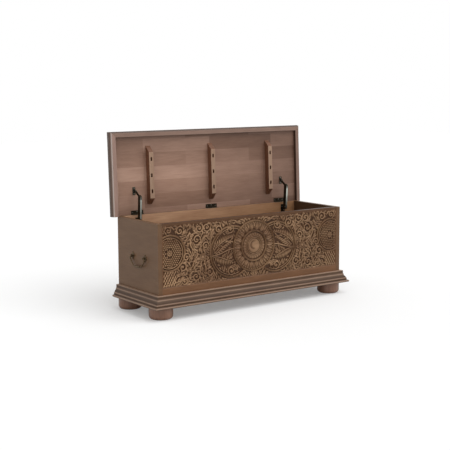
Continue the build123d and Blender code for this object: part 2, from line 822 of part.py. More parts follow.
rivet_hole = rivet_radius + rivet_clear
box_rivets = []
lid_rivets = []
for name, side in sides.items():
    finish(channel_arm(side * stay_x, box_pivot, elbow), f"stay_{name}_arm")
    link = strap(side * stay_x, elbow, lid_pivot, link_width, rivet_hole, rivet_radius + open_rivet_clear)
    finish(link, f"stay_{name}_link")
    arm_layers = layers(side, stay_x - strap_pitch, stay_x + strap_pitch)
    finish(rivet(elbow, *arm_layers), f"stay_{name}_elbow_rivet")
    box_rivets.append(rivet(box_pivot, *arm_layers).part)
    lid_rivets.append(rivet(lid_pivot, *layers(side, stay_x, lid_ear_x)).part)

    with BuildPart() as box_bracket:
        with BuildSketch(back_wall_plane):
            with Locations((side * stay_x, hinge_z - bracket_top - bracket_height / 2)):
                Rectangle(bracket_width, bracket_height)
        extrude(amount=strap_thickness)
        with BuildSketch(Plane.YZ.offset(side * stay_x - strap_thickness / 2)):
            with BuildLine():
                Polyline(
                    (back_inner, box_pivot[1] + ear_radius),
                    (back_inner, box_pivot[1] - ear_root + ear_radius),
                    (box_pivot[0], box_pivot[1] - ear_radius),
                    (box_pivot[0], box_pivot[1] + ear_radius),
                    close=True,
                )
            make_face()
            with Locations(box_pivot):
                Circle(ear_radius)
                Circle(rivet_hole, mode=Mode.SUBTRACT)
        extrude(amount=strap_thickness)
        add(bracket_screws(back_wall_plane, box_screw_points, bore_clear), mode=Mode.SUBTRACT)
    finish(box_bracket, f"stay_{name}_box_bracket")

    with BuildPart() as lid_bracket:
        with BuildSketch(lid_plane.offset(underside)):
            with Locations((side * lid_ear_x, stay_reach)):
                Rectangle(lid_bracket_width, lid_bracket_height)
        extrude(amount=strap_thickness)
        with BuildSketch(lid_section.offset(side * lid_ear_x - strap_thickness / 2)):
            with Locations((stay_reach, (underside + stay_lift) / 2)):
                Rectangle(2 * ear_radius, stay_lift - underside)
            with Locations((stay_reach, stay_lift)):
                Circle(ear_radius)
                Circle(rivet_hole, mode=Mode.SUBTRACT)
        extrude(amount=strap_thickness)
        add(bracket_screws(lid_plane.offset(underside), lid_screw_points, bore_clear), mode=Mode.SUBTRACT)
    finish(lid_bracket, f"stay_{name}_lid_bracket")

for name, rivets in {"stay_box_rivets": box_rivets, "stay_lid_rivets": lid_rivets}.items():
    with BuildPart() as rivet_group:
        add(rivets)
    finish(rivet_group, name)
with BuildPart() as stay_box_screws:
    add(bracket_screws(back_wall_plane, box_screw_points))
finish(stay_box_screws, "stay_box_screws")
with BuildPart() as stay_lid_screws:
    add(bracket_screws(lid_plane.offset(underside), lid_screw_points))
finish(stay_lid_screws, "stay_lid_screws")

# Drop handles -------------------------------------------------------------------------------------
bail_half = handle_spacing / 2 + lug_thickness / 2 + bail_side_gap + bail_radius
bail_pin_end = handle_spacing / 2 - lug_thickness / 2 - bail_radius

for name, plane in handle_planes.items():
    for end, across in {"back": sides[name], "front": -sides[name]}.items():
        lug_x = across * handle_spacing / 2
        with BuildPart() as handle_plate:
            with BuildSketch(plane):
                with BuildLine():
                    Polyline(
                        (lug_x + plate_width / 2, 0),
                        (lug_x, plate_height / 2),
                        (lug_x - plate_width / 2, 0),
                        (lug_x, -plate_height / 2),
                        close=True,
                    )
                make_face()
                with Locations((lug_x, 0)):
                    Circle(plate_disc_radius)
            extrude(amount=plate_thickness)
            lug_start = plane.from_local_coords((lug_x - lug_thickness / 2, 0, 0))
            with BuildSketch(Plane(origin=lug_start, x_dir=plane.z_dir, z_dir=plane.x_dir)):
                with Locations((bail_standoff / 2, 0)):
                    Rectangle(bail_standoff, 2 * lug_radius)
                with Locations((bail_standoff, 0)):
                    Circle(lug_radius)
                    Circle(bail_radius + bail_clear, mode=Mode.SUBTRACT)
            extrude(amount=lug_thickness)
            add(handle_screw_set(plane, bore_clear), mode=Mode.SUBTRACT)
        finish(handle_plate, f"handle_{name}_plate_{end}")

    with BuildPart() as bail:
        with BuildLine(plane.offset(bail_standoff)) as bail_path:
            FilletPolyline(
                (-bail_pin_end, 0),
                (-bail_half, 0),
                (-bail_half, -bail_leg),
                (-bail_bottom_half, -bail_drop),
                (bail_bottom_half, -bail_drop),
                (bail_half, -bail_leg),
                (bail_half, 0),
                (bail_pin_end, 0),
                radius=[
                    bail_pin_bend,
                    bail_shoulder_bend,
                    bail_corner_bend,
                    bail_corner_bend,
                    bail_shoulder_bend,
                    bail_pin_bend,
                ],
            )
        with BuildSketch(Plane(origin=bail_path.wire() @ 0, z_dir=bail_path.wire() % 0)):
            Circle(bail_radius)
        sweep(path=bail_path.wire())
        grip_start = plane.from_local_coords((-grip_length / 2, -bail_drop, bail_standoff))
        with BuildSketch(Plane(origin=grip_start, z_dir=plane.x_dir)):
            Circle(grip_radius)
        extrude(amount=grip_length)
    finish(bail, f"handle_{name}_bail")

with BuildPart() as handle_screws:
    for plane in handle_planes.values():
        add(handle_screw_set(plane))
finish(handle_screws, "handle_screws")
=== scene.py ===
# %% [markdown]
# # A carved damchiya chest
#
# A damchiya is the long, low chest of western India that holds a bride's linen. This one stands open:
# a carved front, plain ends, a moulded plinth on bun feet, and a flat lid held up by two metal stays.
# The solids are CAD, so every board, hinge and rivet already has its true size and place. What is left
# for Blender is what a maker would call the finish: the carving, which the solids only block out, the
# lacquer on the wood and the tarnish on the iron.

# %% Load the frame
import math

import bpy
import numpy as np
from mathutils import Matrix, Vector


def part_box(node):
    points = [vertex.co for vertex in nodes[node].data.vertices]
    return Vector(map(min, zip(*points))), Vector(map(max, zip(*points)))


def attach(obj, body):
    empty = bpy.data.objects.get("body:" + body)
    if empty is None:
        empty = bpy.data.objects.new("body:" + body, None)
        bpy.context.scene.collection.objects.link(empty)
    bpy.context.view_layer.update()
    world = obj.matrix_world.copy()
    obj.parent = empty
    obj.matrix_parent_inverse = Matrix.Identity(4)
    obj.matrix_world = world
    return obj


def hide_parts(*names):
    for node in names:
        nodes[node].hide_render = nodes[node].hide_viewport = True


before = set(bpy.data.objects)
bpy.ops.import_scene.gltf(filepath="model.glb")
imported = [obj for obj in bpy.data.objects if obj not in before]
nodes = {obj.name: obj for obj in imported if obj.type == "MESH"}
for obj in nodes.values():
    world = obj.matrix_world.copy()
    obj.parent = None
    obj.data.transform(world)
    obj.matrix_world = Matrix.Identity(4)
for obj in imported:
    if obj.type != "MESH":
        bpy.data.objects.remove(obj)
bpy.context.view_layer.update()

MM = 0.001

# %% [markdown]
# ## The camera
#
# A long lens from about five and a half metres away keeps the chest's verticals nearly upright. A camera
# looks along its own -Z with +Y up, so its matrix holds three columns: right, up and backwards. They
# come from a heading, a tilt and a slight roll.

# %% Camera
CAMERA_PLACE = Vector((-3.2719, -4.5333, 1.1964))
HEADING = math.radians(-35.42)  # from +Y, positive towards -X
TILT = math.radians(-7.97)
ROLL = math.radians(-0.246)
LENS = 82.88  # mm, on a sensor 36 mm wide

forward = Vector((-math.sin(HEADING) * math.cos(TILT), math.cos(HEADING) * math.cos(TILT), math.sin(TILT)))
level = Vector((math.cos(HEADING), math.sin(HEADING), 0))
upright = level.cross(forward)
right = level * math.cos(ROLL) + upright * math.sin(ROLL)
up = upright * math.cos(ROLL) - level * math.sin(ROLL)

camera = bpy.data.objects.new("camera", bpy.data.cameras.new("camera"))
camera.data.lens = LENS
camera.matrix_world = Matrix.Translation(CAMERA_PLACE) @ Matrix((right, up, -forward)).transposed().to_4x4()
bpy.context.scene.collection.objects.link(camera)
bpy.context.scene.camera = camera
print("camera at", tuple(round(v, 3) for v in CAMERA_PLACE))

# %% [markdown]
# ## Colours and nodes
#
# Colours are written as the sRGB hex values that a paint chart or an image editor shows. Blender's nodes
# hold linear light, so one function converts them. A second one adds a node, sets its properties and
# fills its inputs, by name or by number: a socket or a node's first output is linked, a hex colour is
# converted, and any other value is set. A third lays colours over one another, as a finisher lays coats.

# %% Colour and node helpers
def linear(hex_colour):
    """sRGB hex to linear red, green, blue and alpha: a straight line near black, then a 2.4 power."""
    channels = np.array([int(hex_colour[start:start + 2], 16) for start in (1, 3, 5)]) / 255
    curve = ((channels + 0.055) / 1.055) ** 2.4
    return (*np.where(channels <= 0.04045, channels / 12.92, curve).tolist(), 1.0)


def add(tree, kind, inputs=None, **settings):
    """Adds one shader node and returns it."""
    new = tree.nodes.new("ShaderNode" + kind)
    for name, value in settings.items():
        setattr(new, name, value)
    for key, value in (inputs or {}).items():
        value = value.outputs[0] if isinstance(value, bpy.types.Node) else value
        if isinstance(value, bpy.types.NodeSocket):
            tree.links.new(value, new.inputs[key])
        else:
            new.inputs[key].default_value = linear(value) if isinstance(value, str) else value
    return new


def painted(tree, colour, *coats):
    """A colour with coats over it, each given as its share, from 0 to 1, and its own colour."""
    for share, coat in coats:
        colour = add(tree, "Mix", {0: share, 6: colour, 7: coat}, data_type="RGBA").outputs[2]
    return colour


def new_material(name):
    """An empty material: its tree, and the output that its shader goes into."""
    material = bpy.data.materials.new(name)
    material.use_nodes = True
    material.node_tree.nodes.clear()
    output = add(material.node_tree, "OutputMaterial")
    return material, material.node_tree, output.inputs["Surface"]


print("mid brown in linear light:", [round(v, 3) for v in linear("#7a6250")[:3]])

# %% [markdown]
# ## Floor and light
#
# A white sweep in a studio, lit evenly from above and in front. A sun lamp with a wide angle stands for
# a big softbox: it has no falloff, so the floor stays the same white to its far edge, and its shadows
# are soft. The world adds the light that bounces about the room, more of it from the white walls than
# from overhead, so upright faces aren't dull. What the camera sees of the world is plain white, and so
# is what shiny metal and lacquer reflect.

# %% Studio
HORIZON_LIGHT = 1.05
ZENITH_LIGHT = 0.50
ROOM_WHITE = "#fbfaf8"
SUN_STRENGTH = 1.50
SUN_SPREAD = math.radians(58)
SUN_FROM = Vector((0.38, -0.60, 1.15))  # the direction that the light comes from
FLOOR_HALF = 14.0
FLOOR_WHITE = "#e2e3e4"
FLOOR_LIFT = 0.22  # brings the floor up to the white of the background

world = bpy.data.worlds.new("studio")
bpy.context.scene.world = world
world.use_nodes = True
tree = world.node_tree
tree.nodes.clear()
path = add(tree, "LightPath").outputs
seen = add(tree, "Math", {0: path["Is Camera Ray"], 1: path["Is Glossy Ray"]}, operation="MAXIMUM")
seen = add(tree, "Math", {0: seen, 1: path["Is Transmission Ray"]}, operation="MAXIMUM")
height = add(tree, "SeparateXYZ", {0: add(tree, "TexCoord").outputs["Generated"]}).outputs["Z"]
room_light = add(tree, "MapRange", {0: height, 1: 0.0, 2: 1.0, 3: HORIZON_LIGHT, 4: ZENITH_LIGHT})
room = add(tree, "Background", {"Color": ROOM_WHITE, "Strength": room_light})
white = add(tree, "Background", {"Color": (1, 1, 1, 1), "Strength": 1.0})
either = add(tree, "MixShader", {0: seen, 1: room, 2: white})
add(tree, "OutputWorld", {"Surface": either})

sun = bpy.data.objects.new("softbox", bpy.data.lights.new("softbox", "SUN"))
sun.data.energy = SUN_STRENGTH
sun.data.angle = SUN_SPREAD
sun.rotation_euler = SUN_FROM.to_track_quat("Z", "Y").to_euler()
bpy.context.scene.collection.objects.link(sun)

floor_mesh = bpy.data.meshes.new("floor")
floor_corners = [(x * FLOOR_HALF, y * FLOOR_HALF, 0) for x, y in ((-1, -1), (1, -1), (1, 1), (-1, 1))]
floor_mesh.from_pydata(floor_corners, [], [(0, 1, 2, 3)])
floor = bpy.data.objects.new("floor", floor_mesh)
bpy.context.scene.collection.objects.link(floor)

paper, tree, surface = new_material("matt_white_paper")
matt = add(tree, "BsdfDiffuse", {"Color": FLOOR_WHITE})
in_view = add(tree, "LightPath").outputs["Is Camera Ray"]
lift = add(tree, "Math", {0: in_view, 1: FLOOR_LIFT}, operation="MULTIPLY")
glow = add(tree, "Emission", {"Color": (1, 1, 1, 1), "Strength": lift})
both = add(tree, "AddShader", {0: matt, 1: glow})
tree.links.new(both.outputs[0], surface)
floor_mesh.materials.append(paper)

bpy.context.scene.view_settings.view_transform = "Standard"
print("floor", 2 * FLOOR_HALF, "m square, sun strength", SUN_STRENGTH)

# %% [markdown]
# ## Lacquered hardwood
#
# The chest is mango wood or sheesham under a brown satin lacquer. The eye sees three things in it: broad
# cloudy figure a few centimetres wide, darker streaks a few millimetres wide along the grain, and fine
# open pores that catch the light. Each is a noise of its real size, drawn out along the board; only the
# pores are drawn at a millimetre, because half of one wouldn't show. The film of lacquer is thin and
# reflects less than one with the default IOR of 1.5, and satin is a roughness near 0.5. A lacquered arris
# is a little rounded and worn, so the Bevel node rounds the shading at each edge, and where it bends the
# normal the colour is painted paler, partly as wear and partly as a painted highlight.

# %% Wood finish
FIGURE_WIDTH = 34 * MM
STREAK_WIDTH = 5 * MM
PORE_WIDTH = 1.0 * MM
PORE_DEPTH = 0.25 * MM
GRAIN_STRETCH = {"figure": 0.22, "streak": 0.07, "pore": 0.06}  # 1 would be as long as it is wide
STREAK_SHARE = 0.45
NOISE_SPREAD = 0.22  # a noise strays this far from a half, and is spread from 0 to 1 over it
ALONG_X, ALONG_Y, ALONG_Z = 0, 1, 2


def grain_noise(tree, kind, width, along, detail, start=(0, 0, 0)):
    """A noise of the given width across the grain, drawn out along one axis, from a place of its own."""
    stretch = [1.0, 1.0, 1.0]
    stretch[along] = GRAIN_STRETCH[kind]
    place = add(tree, "TexCoord").outputs["Object"]
    drawn_out = add(tree, "Mapping", {"Vector": place, "Scale": stretch, "Location": start})
    sizes = {"Vector": drawn_out, "Scale": 1 / width, "Detail": detail, "Roughness": 0.55}
    return add(tree, "TexNoise", sizes).outputs["Fac"]


def wood_tone(tree, deep, pale, along=ALONG_X):
    """The wood's colour: figure and streaks mixed, then spread between a deep and a pale brown."""
    figure = grain_noise(tree, "figure", FIGURE_WIDTH, along, 3)
    streak = grain_noise(tree, "streak", STREAK_WIDTH, along, 4)
    mixed = add(tree, "Mix", {0: STREAK_SHARE, 2: figure, 3: streak})
    spread = add(tree, "MapRange", {0: mixed, 1: 0.5 - NOISE_SPREAD, 2: 0.5 + NOISE_SPREAD})
    return painted(tree, deep, (spread, pale))


def rounded_edges(tree, radius, full, most):
    """The surface's direction with its edges rounded, and a share of paler edge colour, partly wear and
    partly a painted highlight: 0 on a flat face, and `most` where the rounding turns the direction by an
    angle whose cosine is `full` or less."""
    rounded = add(tree, "Bevel", {"Radius": radius}, samples=6).outputs["Normal"]
    flat = add(tree, "NewGeometry").outputs["Normal"]
    bend = add(tree, "VectorMath", {0: rounded, 1: flat}, operation="DOT_PRODUCT").outputs["Value"]
    return rounded, add(tree, "MapRange", {0: bend, 1: 0.99, 2: full, 4: most})


def lacquer(tree, surface, tone, worn_and_highlit_edge, along=ALONG_X, edge=1.5 * MM, roughness=0.48, coat=0.03, shine=0.3):
    """Puts a satin lacquer over a wood colour, with rounded arrises painted paler, partly as wear and partly
    as a painted highlight. Shine 0.5 is a thick film with an IOR of 1.5, and less is a thinner one, which
    reflects less."""
    rounded, worn_and_highlit_share = rounded_edges(tree, edge, 0.85, 0.55)
    pores = grain_noise(tree, "pore", PORE_WIDTH, along, 2)
    relief = add(tree, "Bump", {"Height": pores, "Strength": 0.35, "Distance": PORE_DEPTH, "Normal": rounded})
    look = {"Base Color": painted(tree, tone, (worn_and_highlit_share, worn_and_highlit_edge)), "Normal": relief}
    sheen = {"Roughness": roughness, "Specular IOR Level": shine, "Coat Weight": coat, "Coat Roughness": 0.22}
    tree.links.new(add(tree, "BsdfPrincipled", look | sheen).outputs[0], surface)


def across_object(tree, axis, low, high, at_low=0.0, at_high=1.0, both_ways=False):
    """A number that goes from at_low to at_high as the object's X, Y or Z goes from low to high. If
    both_ways, it follows the distance from the middle instead."""
    place = add(tree, "SeparateXYZ", {0: add(tree, "TexCoord").outputs["Object"]}).outputs[axis]
    if both_ways:
        place = add(tree, "Math", {0: place}, operation="ABSOLUTE")
    return add(tree, "MapRange", {0: place, 1: low, 2: high, 3: at_low, 4: at_high})


def facing(tree, axis, start, full):
    """A share that goes from 0 to 1 as one part of the surface's direction goes from start to full. The
    direction is seen from the object itself, so it turns with the lid."""
    turned = {"vector_type": "NORMAL", "convert_from": "WORLD", "convert_to": "OBJECT"}
    own = add(tree, "VectorTransform", {0: add(tree, "NewGeometry").outputs["Normal"]}, **turned)
    part = add(tree, "SeparateXYZ", {0: own}).outputs[axis]
    return add(tree, "MapRange", {0: part, 1: start, 2: full})


def dress(names, material):
    """Gives a material to CAD nodes, in every slot that they have."""
    for name in names:
        slots = nodes[name].data.materials
        slots.clear()
        slots.append(material)


print("grain sizes in mm:", FIGURE_WIDTH / MM, STREAK_WIDTH / MM, PORE_WIDTH / MM)

# %% [markdown]
# ## Plain boards
#
# Each board takes the same finish with its grain the way the joiner laid it: along the length of the
# back, the plinth and the lid's front rim, up the ends and the battens. A long board and its short
# neighbour never quite match, so each has its own pair of browns. The inner faces of the ends are painted
# in darker browns, as painted shade inside the box.

# %% Finishes of the plain boards
# The third brown of each set is painted on the arrises, partly as wear and partly as a painted highlight.
END_BROWNS = ("#5c4029", "#6f5238", "#8a6e56")  # deep, pale, and rubbed at the arrises
# Painted shade: the darker browns of the ends' inner faces, inside the box.
END_INNER_SHADE_BROWNS = ("#483120", "#57402b")
BOTTOM_BROWNS = ("#8a6446", "#a87f5c", "#b89070")
CLEAT_BROWNS = ("#7a583e", "#94704f", "#a98663")
BOARDS = {
    "left_end_panel": (ALONG_Y, END_BROWNS),
    "right_end_panel": (ALONG_Y, END_BROWNS),
    "bottom_panel": (ALONG_X, BOTTOM_BROWNS),
    "corner_dowels": (ALONG_X, BOTTOM_BROWNS),
    "cleat_front": (ALONG_X, CLEAT_BROWNS),
    "cleat_back": (ALONG_X, CLEAT_BROWNS),
    "cleat_left": (ALONG_Y, CLEAT_BROWNS),
    "cleat_right": (ALONG_Y, CLEAT_BROWNS),
}

end_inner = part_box("right_end_panel")[0].x
for name, (along, (deep, pale, worn_and_highlit_edge)) in BOARDS.items():
    wood, tree, surface = new_material(f"lacquered_hardwood_{name}")
    tone = wood_tone(tree, deep, pale, along)
    if "end_panel" in name:
        # Painted shade: the inner face of each end takes the darker browns.
        outside = across_object(tree, "X", end_inner + 1 * MM, end_inner + 3 * MM, both_ways=True)
        tone = painted(tree, wood_tone(tree, *END_INNER_SHADE_BROWNS, along), (outside, tone))
    lacquer(tree, surface, tone, worn_and_highlit_edge, along)
    dress([name], wood)

blocks, tree, surface = new_material("sawn_softwood_blocks")
deep, pale, worn_and_highlit_edge = CLEAT_BROWNS
lacquer(tree, surface, wood_tone(tree, deep, pale, ALONG_Z), worn_and_highlit_edge, ALONG_Z, roughness=0.7, coat=0.0)
dress([name for name in nodes if name.startswith("corner_block")], blocks)
print("boards dressed:", len(BOARDS))

# %% [markdown]
# ## Mouldings
#
# A moulding is stained, wiped and lacquered. The wiping leaves the stain in its quirks, the sharp inner
# corners, and takes it off the arrises, the sharp outer ones; the stripes along a run of moulding also
# hold painted light, a painted highlight on each arris and painted shade in each quirk. On the plinth
# each stripe lies at its own height, and a Color Ramp over the object's Z gives all of them. On the lid's
# rim the outer edges and the inner faces carry painted shade, and the arris beside the outer edge a
# painted highlight, palest at the two ends, while in front it is as dark as the edge. The outer edges
# are rougher.

# %% Finishes of plinth and rim
plinth_low, plinth_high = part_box("plinth_front")
# The stripes hold painted light: a high share is a wiped arris with a painted highlight, a low one a stained
# quirk with painted shade.
PLINTH_STRIPES = [  # height above the floor in mm, share of the pale tone
    (62, 0.15), (65, 0.30), (68.5, 0.85), (71, 0.80), (74, 0.20), (76, 0.0), (79, 0.05), (82, 0.35),
    (84, 0.85), (86, 1.0), (88, 0.25), (91, 0.0), (97, 0.05), (103, 0.25), (105, 0.8), (107, 0.95),
    (109.5, 0.45), (112, 0.25), (116, 0.10), (119, 0.05), (122, 0.15), (125, 0.5), (127.2, 1.0), (128, 1.0),
]


def striped(tree, axis, stripes):
    """A share that follows a list of (place in mm, share) along one of the object's axes."""
    low, high = stripes[0][0], stripes[-1][0]
    ramp = add(tree, "ValToRGB", {0: across_object(tree, axis, low * MM, high * MM)})
    elements = ramp.color_ramp.elements
    for place, _ in stripes[1:-1]:
        elements.new((place - low) / (high - low))
    for element, (_, share) in zip(elements, stripes):
        element.color = (share, share, share, 1)
    return ramp


for name, along in (("plinth_front", ALONG_X), ("plinth_left", ALONG_Y), ("plinth_right", ALONG_Y)):
    wood, tree, surface = new_material(f"wiped_stain_and_painted_light_hardwood_{name}")
    # quirk is the deep tone with painted shade, arris the pale wiped tone with a painted highlight.
    quirk = wood_tone(tree, "#38251a", "#4b3523", along)
    arris = wood_tone(tree, "#907462", "#a68c79", along)
    tone = painted(tree, quirk, (striped(tree, "Z", PLINTH_STRIPES), arris))
    lacquer(tree, surface, tone, "#7b6556", along, edge=0.8 * MM, roughness=0.5, coat=0.0, shine=0.2)
    dress([name], wood)

# Painted shade on the rim's inner faces.
RIM_INNER_SHADE = "#4a352a"
# The browns of the outer edge are painted shade, and the arris colour is a painted highlight.
RIMS = {  # direction of the grain, way that it looks out, browns of its face and its outer edge, of the arris
    "lid_rim_front": (ALONG_X, "Z", 1, ("#785f53", "#917668"), ("#3b2e27", "#51423a"), "#55443b"),
    "lid_rim_left": (ALONG_Z, "X", -1, ("#876c61", "#a3867a"), ("#65534a", "#7f6c61"), "#b3a49c"),
    "lid_rim_right": (ALONG_Z, "X", 1, ("#745b4f", "#8c7164"), ("#4b3c33", "#625145"), "#8f7f75"),
}
for name, (along, axis, away, face_pair, outer_shade_pair, arris) in RIMS.items():
    wood, tree, surface = new_material(f"wiped_stain_and_painted_light_hardwood_{name}")
    # outer: painted shade on the outer edges; shoulder: a painted highlight beside them; inner: painted shade
    # on the inner faces.
    outer = facing(tree, axis, away * 0.80, away * 0.97)
    shoulder_highlight = facing(tree, axis, away * 0.10, away * 0.60)
    inner = facing(tree, axis, away * -0.50, away * -0.90)
    coats = [(shoulder_highlight, arris), (outer, wood_tone(tree, *outer_shade_pair, along)), (inner, RIM_INNER_SHADE)]
    tone = painted(tree, wood_tone(tree, *face_pair, along), *coats)
    worn_and_highlit_edge = painted(tree, arris, (outer, outer_shade_pair[0]))
    dull = add(tree, "MapRange", {0: outer, 3: 0.40, 4: 1.0})
    lacquer(tree, surface, tone, worn_and_highlit_edge, along, edge=1.0 * MM, roughness=dull, coat=0.0)
    dress([name], wood)
print("mouldings dressed; plinth from", round(plinth_low.z / MM, 1), "to", round(plinth_high.z / MM, 1), "mm")

# %% [markdown]
# ## The lid's underside
#
# A wide lid is glued up from many short staves, and each takes the stain a little differently, so the
# underside shows faint oblong patches. The Brick node is made for that: bricks with no mortar, each a
# random mix of two tones, which multiply the grain. It works in X and Y, so the lid's X and Z are put
# there first. The underside is paler round a place left of the middle, and its tone deepens with the
# distance from there. Painted shade darkens the corner under the rim and the board's own edges: brown
# at the ends, nearly black in front. The top of the lid has the same brown as the box, and its staves
# hardly show.

# %% Finish of the lid board
STAVE_LENGTH = 430 * MM
STAVE_WIDTH = 74 * MM
PALE_SPOT = {"Location": (-240 * MM, 0, 650 * MM), "Scale": (970 * MM, 100, 290 * MM)}  # middle and reach
# Painted shade: the width of the dark line in the corner under the rim, and the brown of the board's front
# edge.
CORNER_SHADE_WIDTH = 4 * MM
FRONT_EDGE_SHADE = "#33261f"

lid_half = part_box("lid_board")[1].x
rim_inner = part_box("lid_rim_right")[0].x
rim_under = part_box("lid_rim_front")[0].z

lid_wood, tree, surface = new_material("lacquered_hardwood_lid_staves")
lid_place = add(tree, "TexCoord").outputs["Object"]
place = add(tree, "SeparateXYZ", {0: lid_place}).outputs
laid_flat = add(tree, "CombineXYZ", {0: place["X"], 1: place["Z"]})
layout = {"Vector": laid_flat, "Scale": 1.0, "Brick Width": STAVE_LENGTH, "Row Height": STAVE_WIDTH}
stains = {"Color1": "#c9beb5", "Color2": "#ffffff", "Mortar Size": 0.0, "Bias": 0.0}
staves = add(tree, "TexBrick", layout | stains, offset=0.37).outputs["Color"]


def by_stave(tone):
    """A tone multiplied by that of each stave."""
    return add(tree, "Mix", {0: 1.0, 6: tone, 7: staves}, data_type="RGBA", blend_type="MULTIPLY").outputs[2]


# The tone is paler round a place left of the middle and deepens with the distance from it.
from_spot = add(tree, "Mapping", {"Vector": lid_place, **PALE_SPOT}, vector_type="TEXTURE")
spot_distance = add(tree, "VectorMath", {0: from_spot}, operation="LENGTH").outputs["Value"]
near_spot_tone = wood_tone(tree, "#b48f7b", "#cfaa96")
far_from_spot_tone = wood_tone(tree, "#715547", "#876959")
# Painted shade in the corner under the rim.
beside = across_object(tree, "X", rim_inner - CORNER_SHADE_WIDTH, rim_inner, at_high=0.45, both_ways=True)
below = across_object(tree, "Z", rim_under - CORNER_SHADE_WIDTH, rim_under, at_high=0.3)
corner_shade = add(tree, "Math", {0: beside, 1: below}, operation="MAXIMUM")
under_tone = painted(tree, by_stave(painted(tree, near_spot_tone, (spot_distance, far_from_spot_tone))), (corner_shade, "#3b281e"))
top_tone = wood_tone(tree, "#684b34", "#7d5e45")
top_tone = painted(tree, top_tone, (0.6, by_stave(top_tone)))
underside = facing(tree, "Y", 0.0, -0.5)
# Painted shade on the board's ends and, nearly black, on its front edge.
side_edge_shade = across_object(tree, "X", lid_half - 2 * MM, lid_half - 0.5 * MM, both_ways=True)
front_edge_shade = facing(tree, "Z", 0.7, 0.95)
coats = [(underside, under_tone), (side_edge_shade, "#54443a"), (front_edge_shade, FRONT_EDGE_SHADE)]
worn_and_highlit_edge = painted(tree, "#6b594d", (front_edge_shade, FRONT_EDGE_SHADE))
lacquer(tree, surface, painted(tree, top_tone, *coats), worn_and_highlit_edge)
dress(["lid_board"], lid_wood)
print("staves in mm:", STAVE_LENGTH / MM, "by", STAVE_WIDTH / MM)

# %% [markdown]
# ## Battens, feet and the back
#
# The battens are planed and waxed on their faces, and their sawn sides took more stain. Their colour is
# chosen by the direction that a face looks: pale where it looks out of the lid, a deep red-brown where it
# looks along it, partly that stain and partly painted light and shade. The feet were turned on a lathe
# with their grain upright, and have a thicker coat of lacquer, because feet get knocked. The back board is
# lacquered outside and only oiled inside, where the wood shows its own orange, paler at its left end than
# at its right.

# %% Finishes of battens, feet and back
batten_wood, tree, surface = new_material("stained_and_shaded_hardwood_battens")
# Painted light and shade: pale faces and deep red-brown sides, partly stain.
face = wood_tone(tree, "#907059", "#a98c77", ALONG_Z)
side = wood_tone(tree, "#643f2a", "#7a533d", ALONG_Z)
tone = painted(tree, side, (facing(tree, "Y", -0.80, -0.97), face))
lacquer(tree, surface, tone, "#9c806c", ALONG_Z, edge=1.0 * MM)
dress(["batten_left", "batten_middle", "batten_right"], batten_wood)

foot_wood, tree, surface = new_material("turned_hardwood_feet")
tone = wood_tone(tree, "#6d4b39", "#8e6955", ALONG_Z)
lacquer(tree, surface, tone, "#96775f", ALONG_Z, roughness=0.32, coat=0.35)
dress([name for name in nodes if name.startswith("foot_") and name != "foot_bolts"], foot_wood)

inner_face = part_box("back_panel")[0].y
back_wood, tree, surface = new_material("oiled_and_lacquered_hardwood_back")
outside = across_object(tree, "Y", inner_face + 1 * MM, inner_face + 3 * MM)
rightwards = across_object(tree, "X", -lid_half, lid_half)
pale_end = wood_tone(tree, "#ad8265", "#d4aa89")
deep_end = wood_tone(tree, "#805939", "#a07753")
brown = wood_tone(tree, "#5c4029", "#6f5238")
lacquer(tree, surface, painted(tree, pale_end, (rightwards, deep_end), (outside, brown)), "#a98a70")
dress(["back_panel"], back_wood)
print("dressed battens, feet and back")

# %% [markdown]
# ## Metal
#
# Hinge leaves of blackened steel, zinc-plated screws, stays of dark plated steel with a painted highlight
# down the lower part of each arm's front, and handles of forged iron, brown with age. The edges of every
# metal are painted bright, partly as wear and partly as a painted highlight.
# A metal's colour tints its reflection. Each has a mottled skin, drawn as a noise of two to five
# millimetres, deepest in the forged iron and hardly felt on the plated steel.

# %% Metal finishes
# The third colour is painted on the edges, partly as wear and partly as a painted highlight.
METALS = {  # deep, pale and rubbed colour; edge radius, roughness, width and depth of the skin, in mm
    "blackened_steel_hinges": ("#211d16", "#383126", "#575045", 0.5, 0.55, 3, 0.1),
    "plated_steel_stays": ("#332e24", "#4a473b", "#a9a69e", 0.6, 0.38, 5, 0.05),
    "highlighted_plated_steel_arms": ("#332e24", "#4a473b", "#9b9a90", 0.6, 0.38, 5, 0.05),
    "zinc_plated_screws": ("#5b5750", "#7c776f", "#a8a39a", 0.3, 0.45, 2, 0.05),
    "forged_iron_handles": ("#524130", "#77654e", "#ac9a80", 0.9, 0.5, 2.5, 0.35),
}
# Painted highlight down the front of each stay's arm.
ARM_FRONT_HIGHLIGHT = "#d3d9ce"
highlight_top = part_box("stay_left_arm")[1].z - 8 * MM


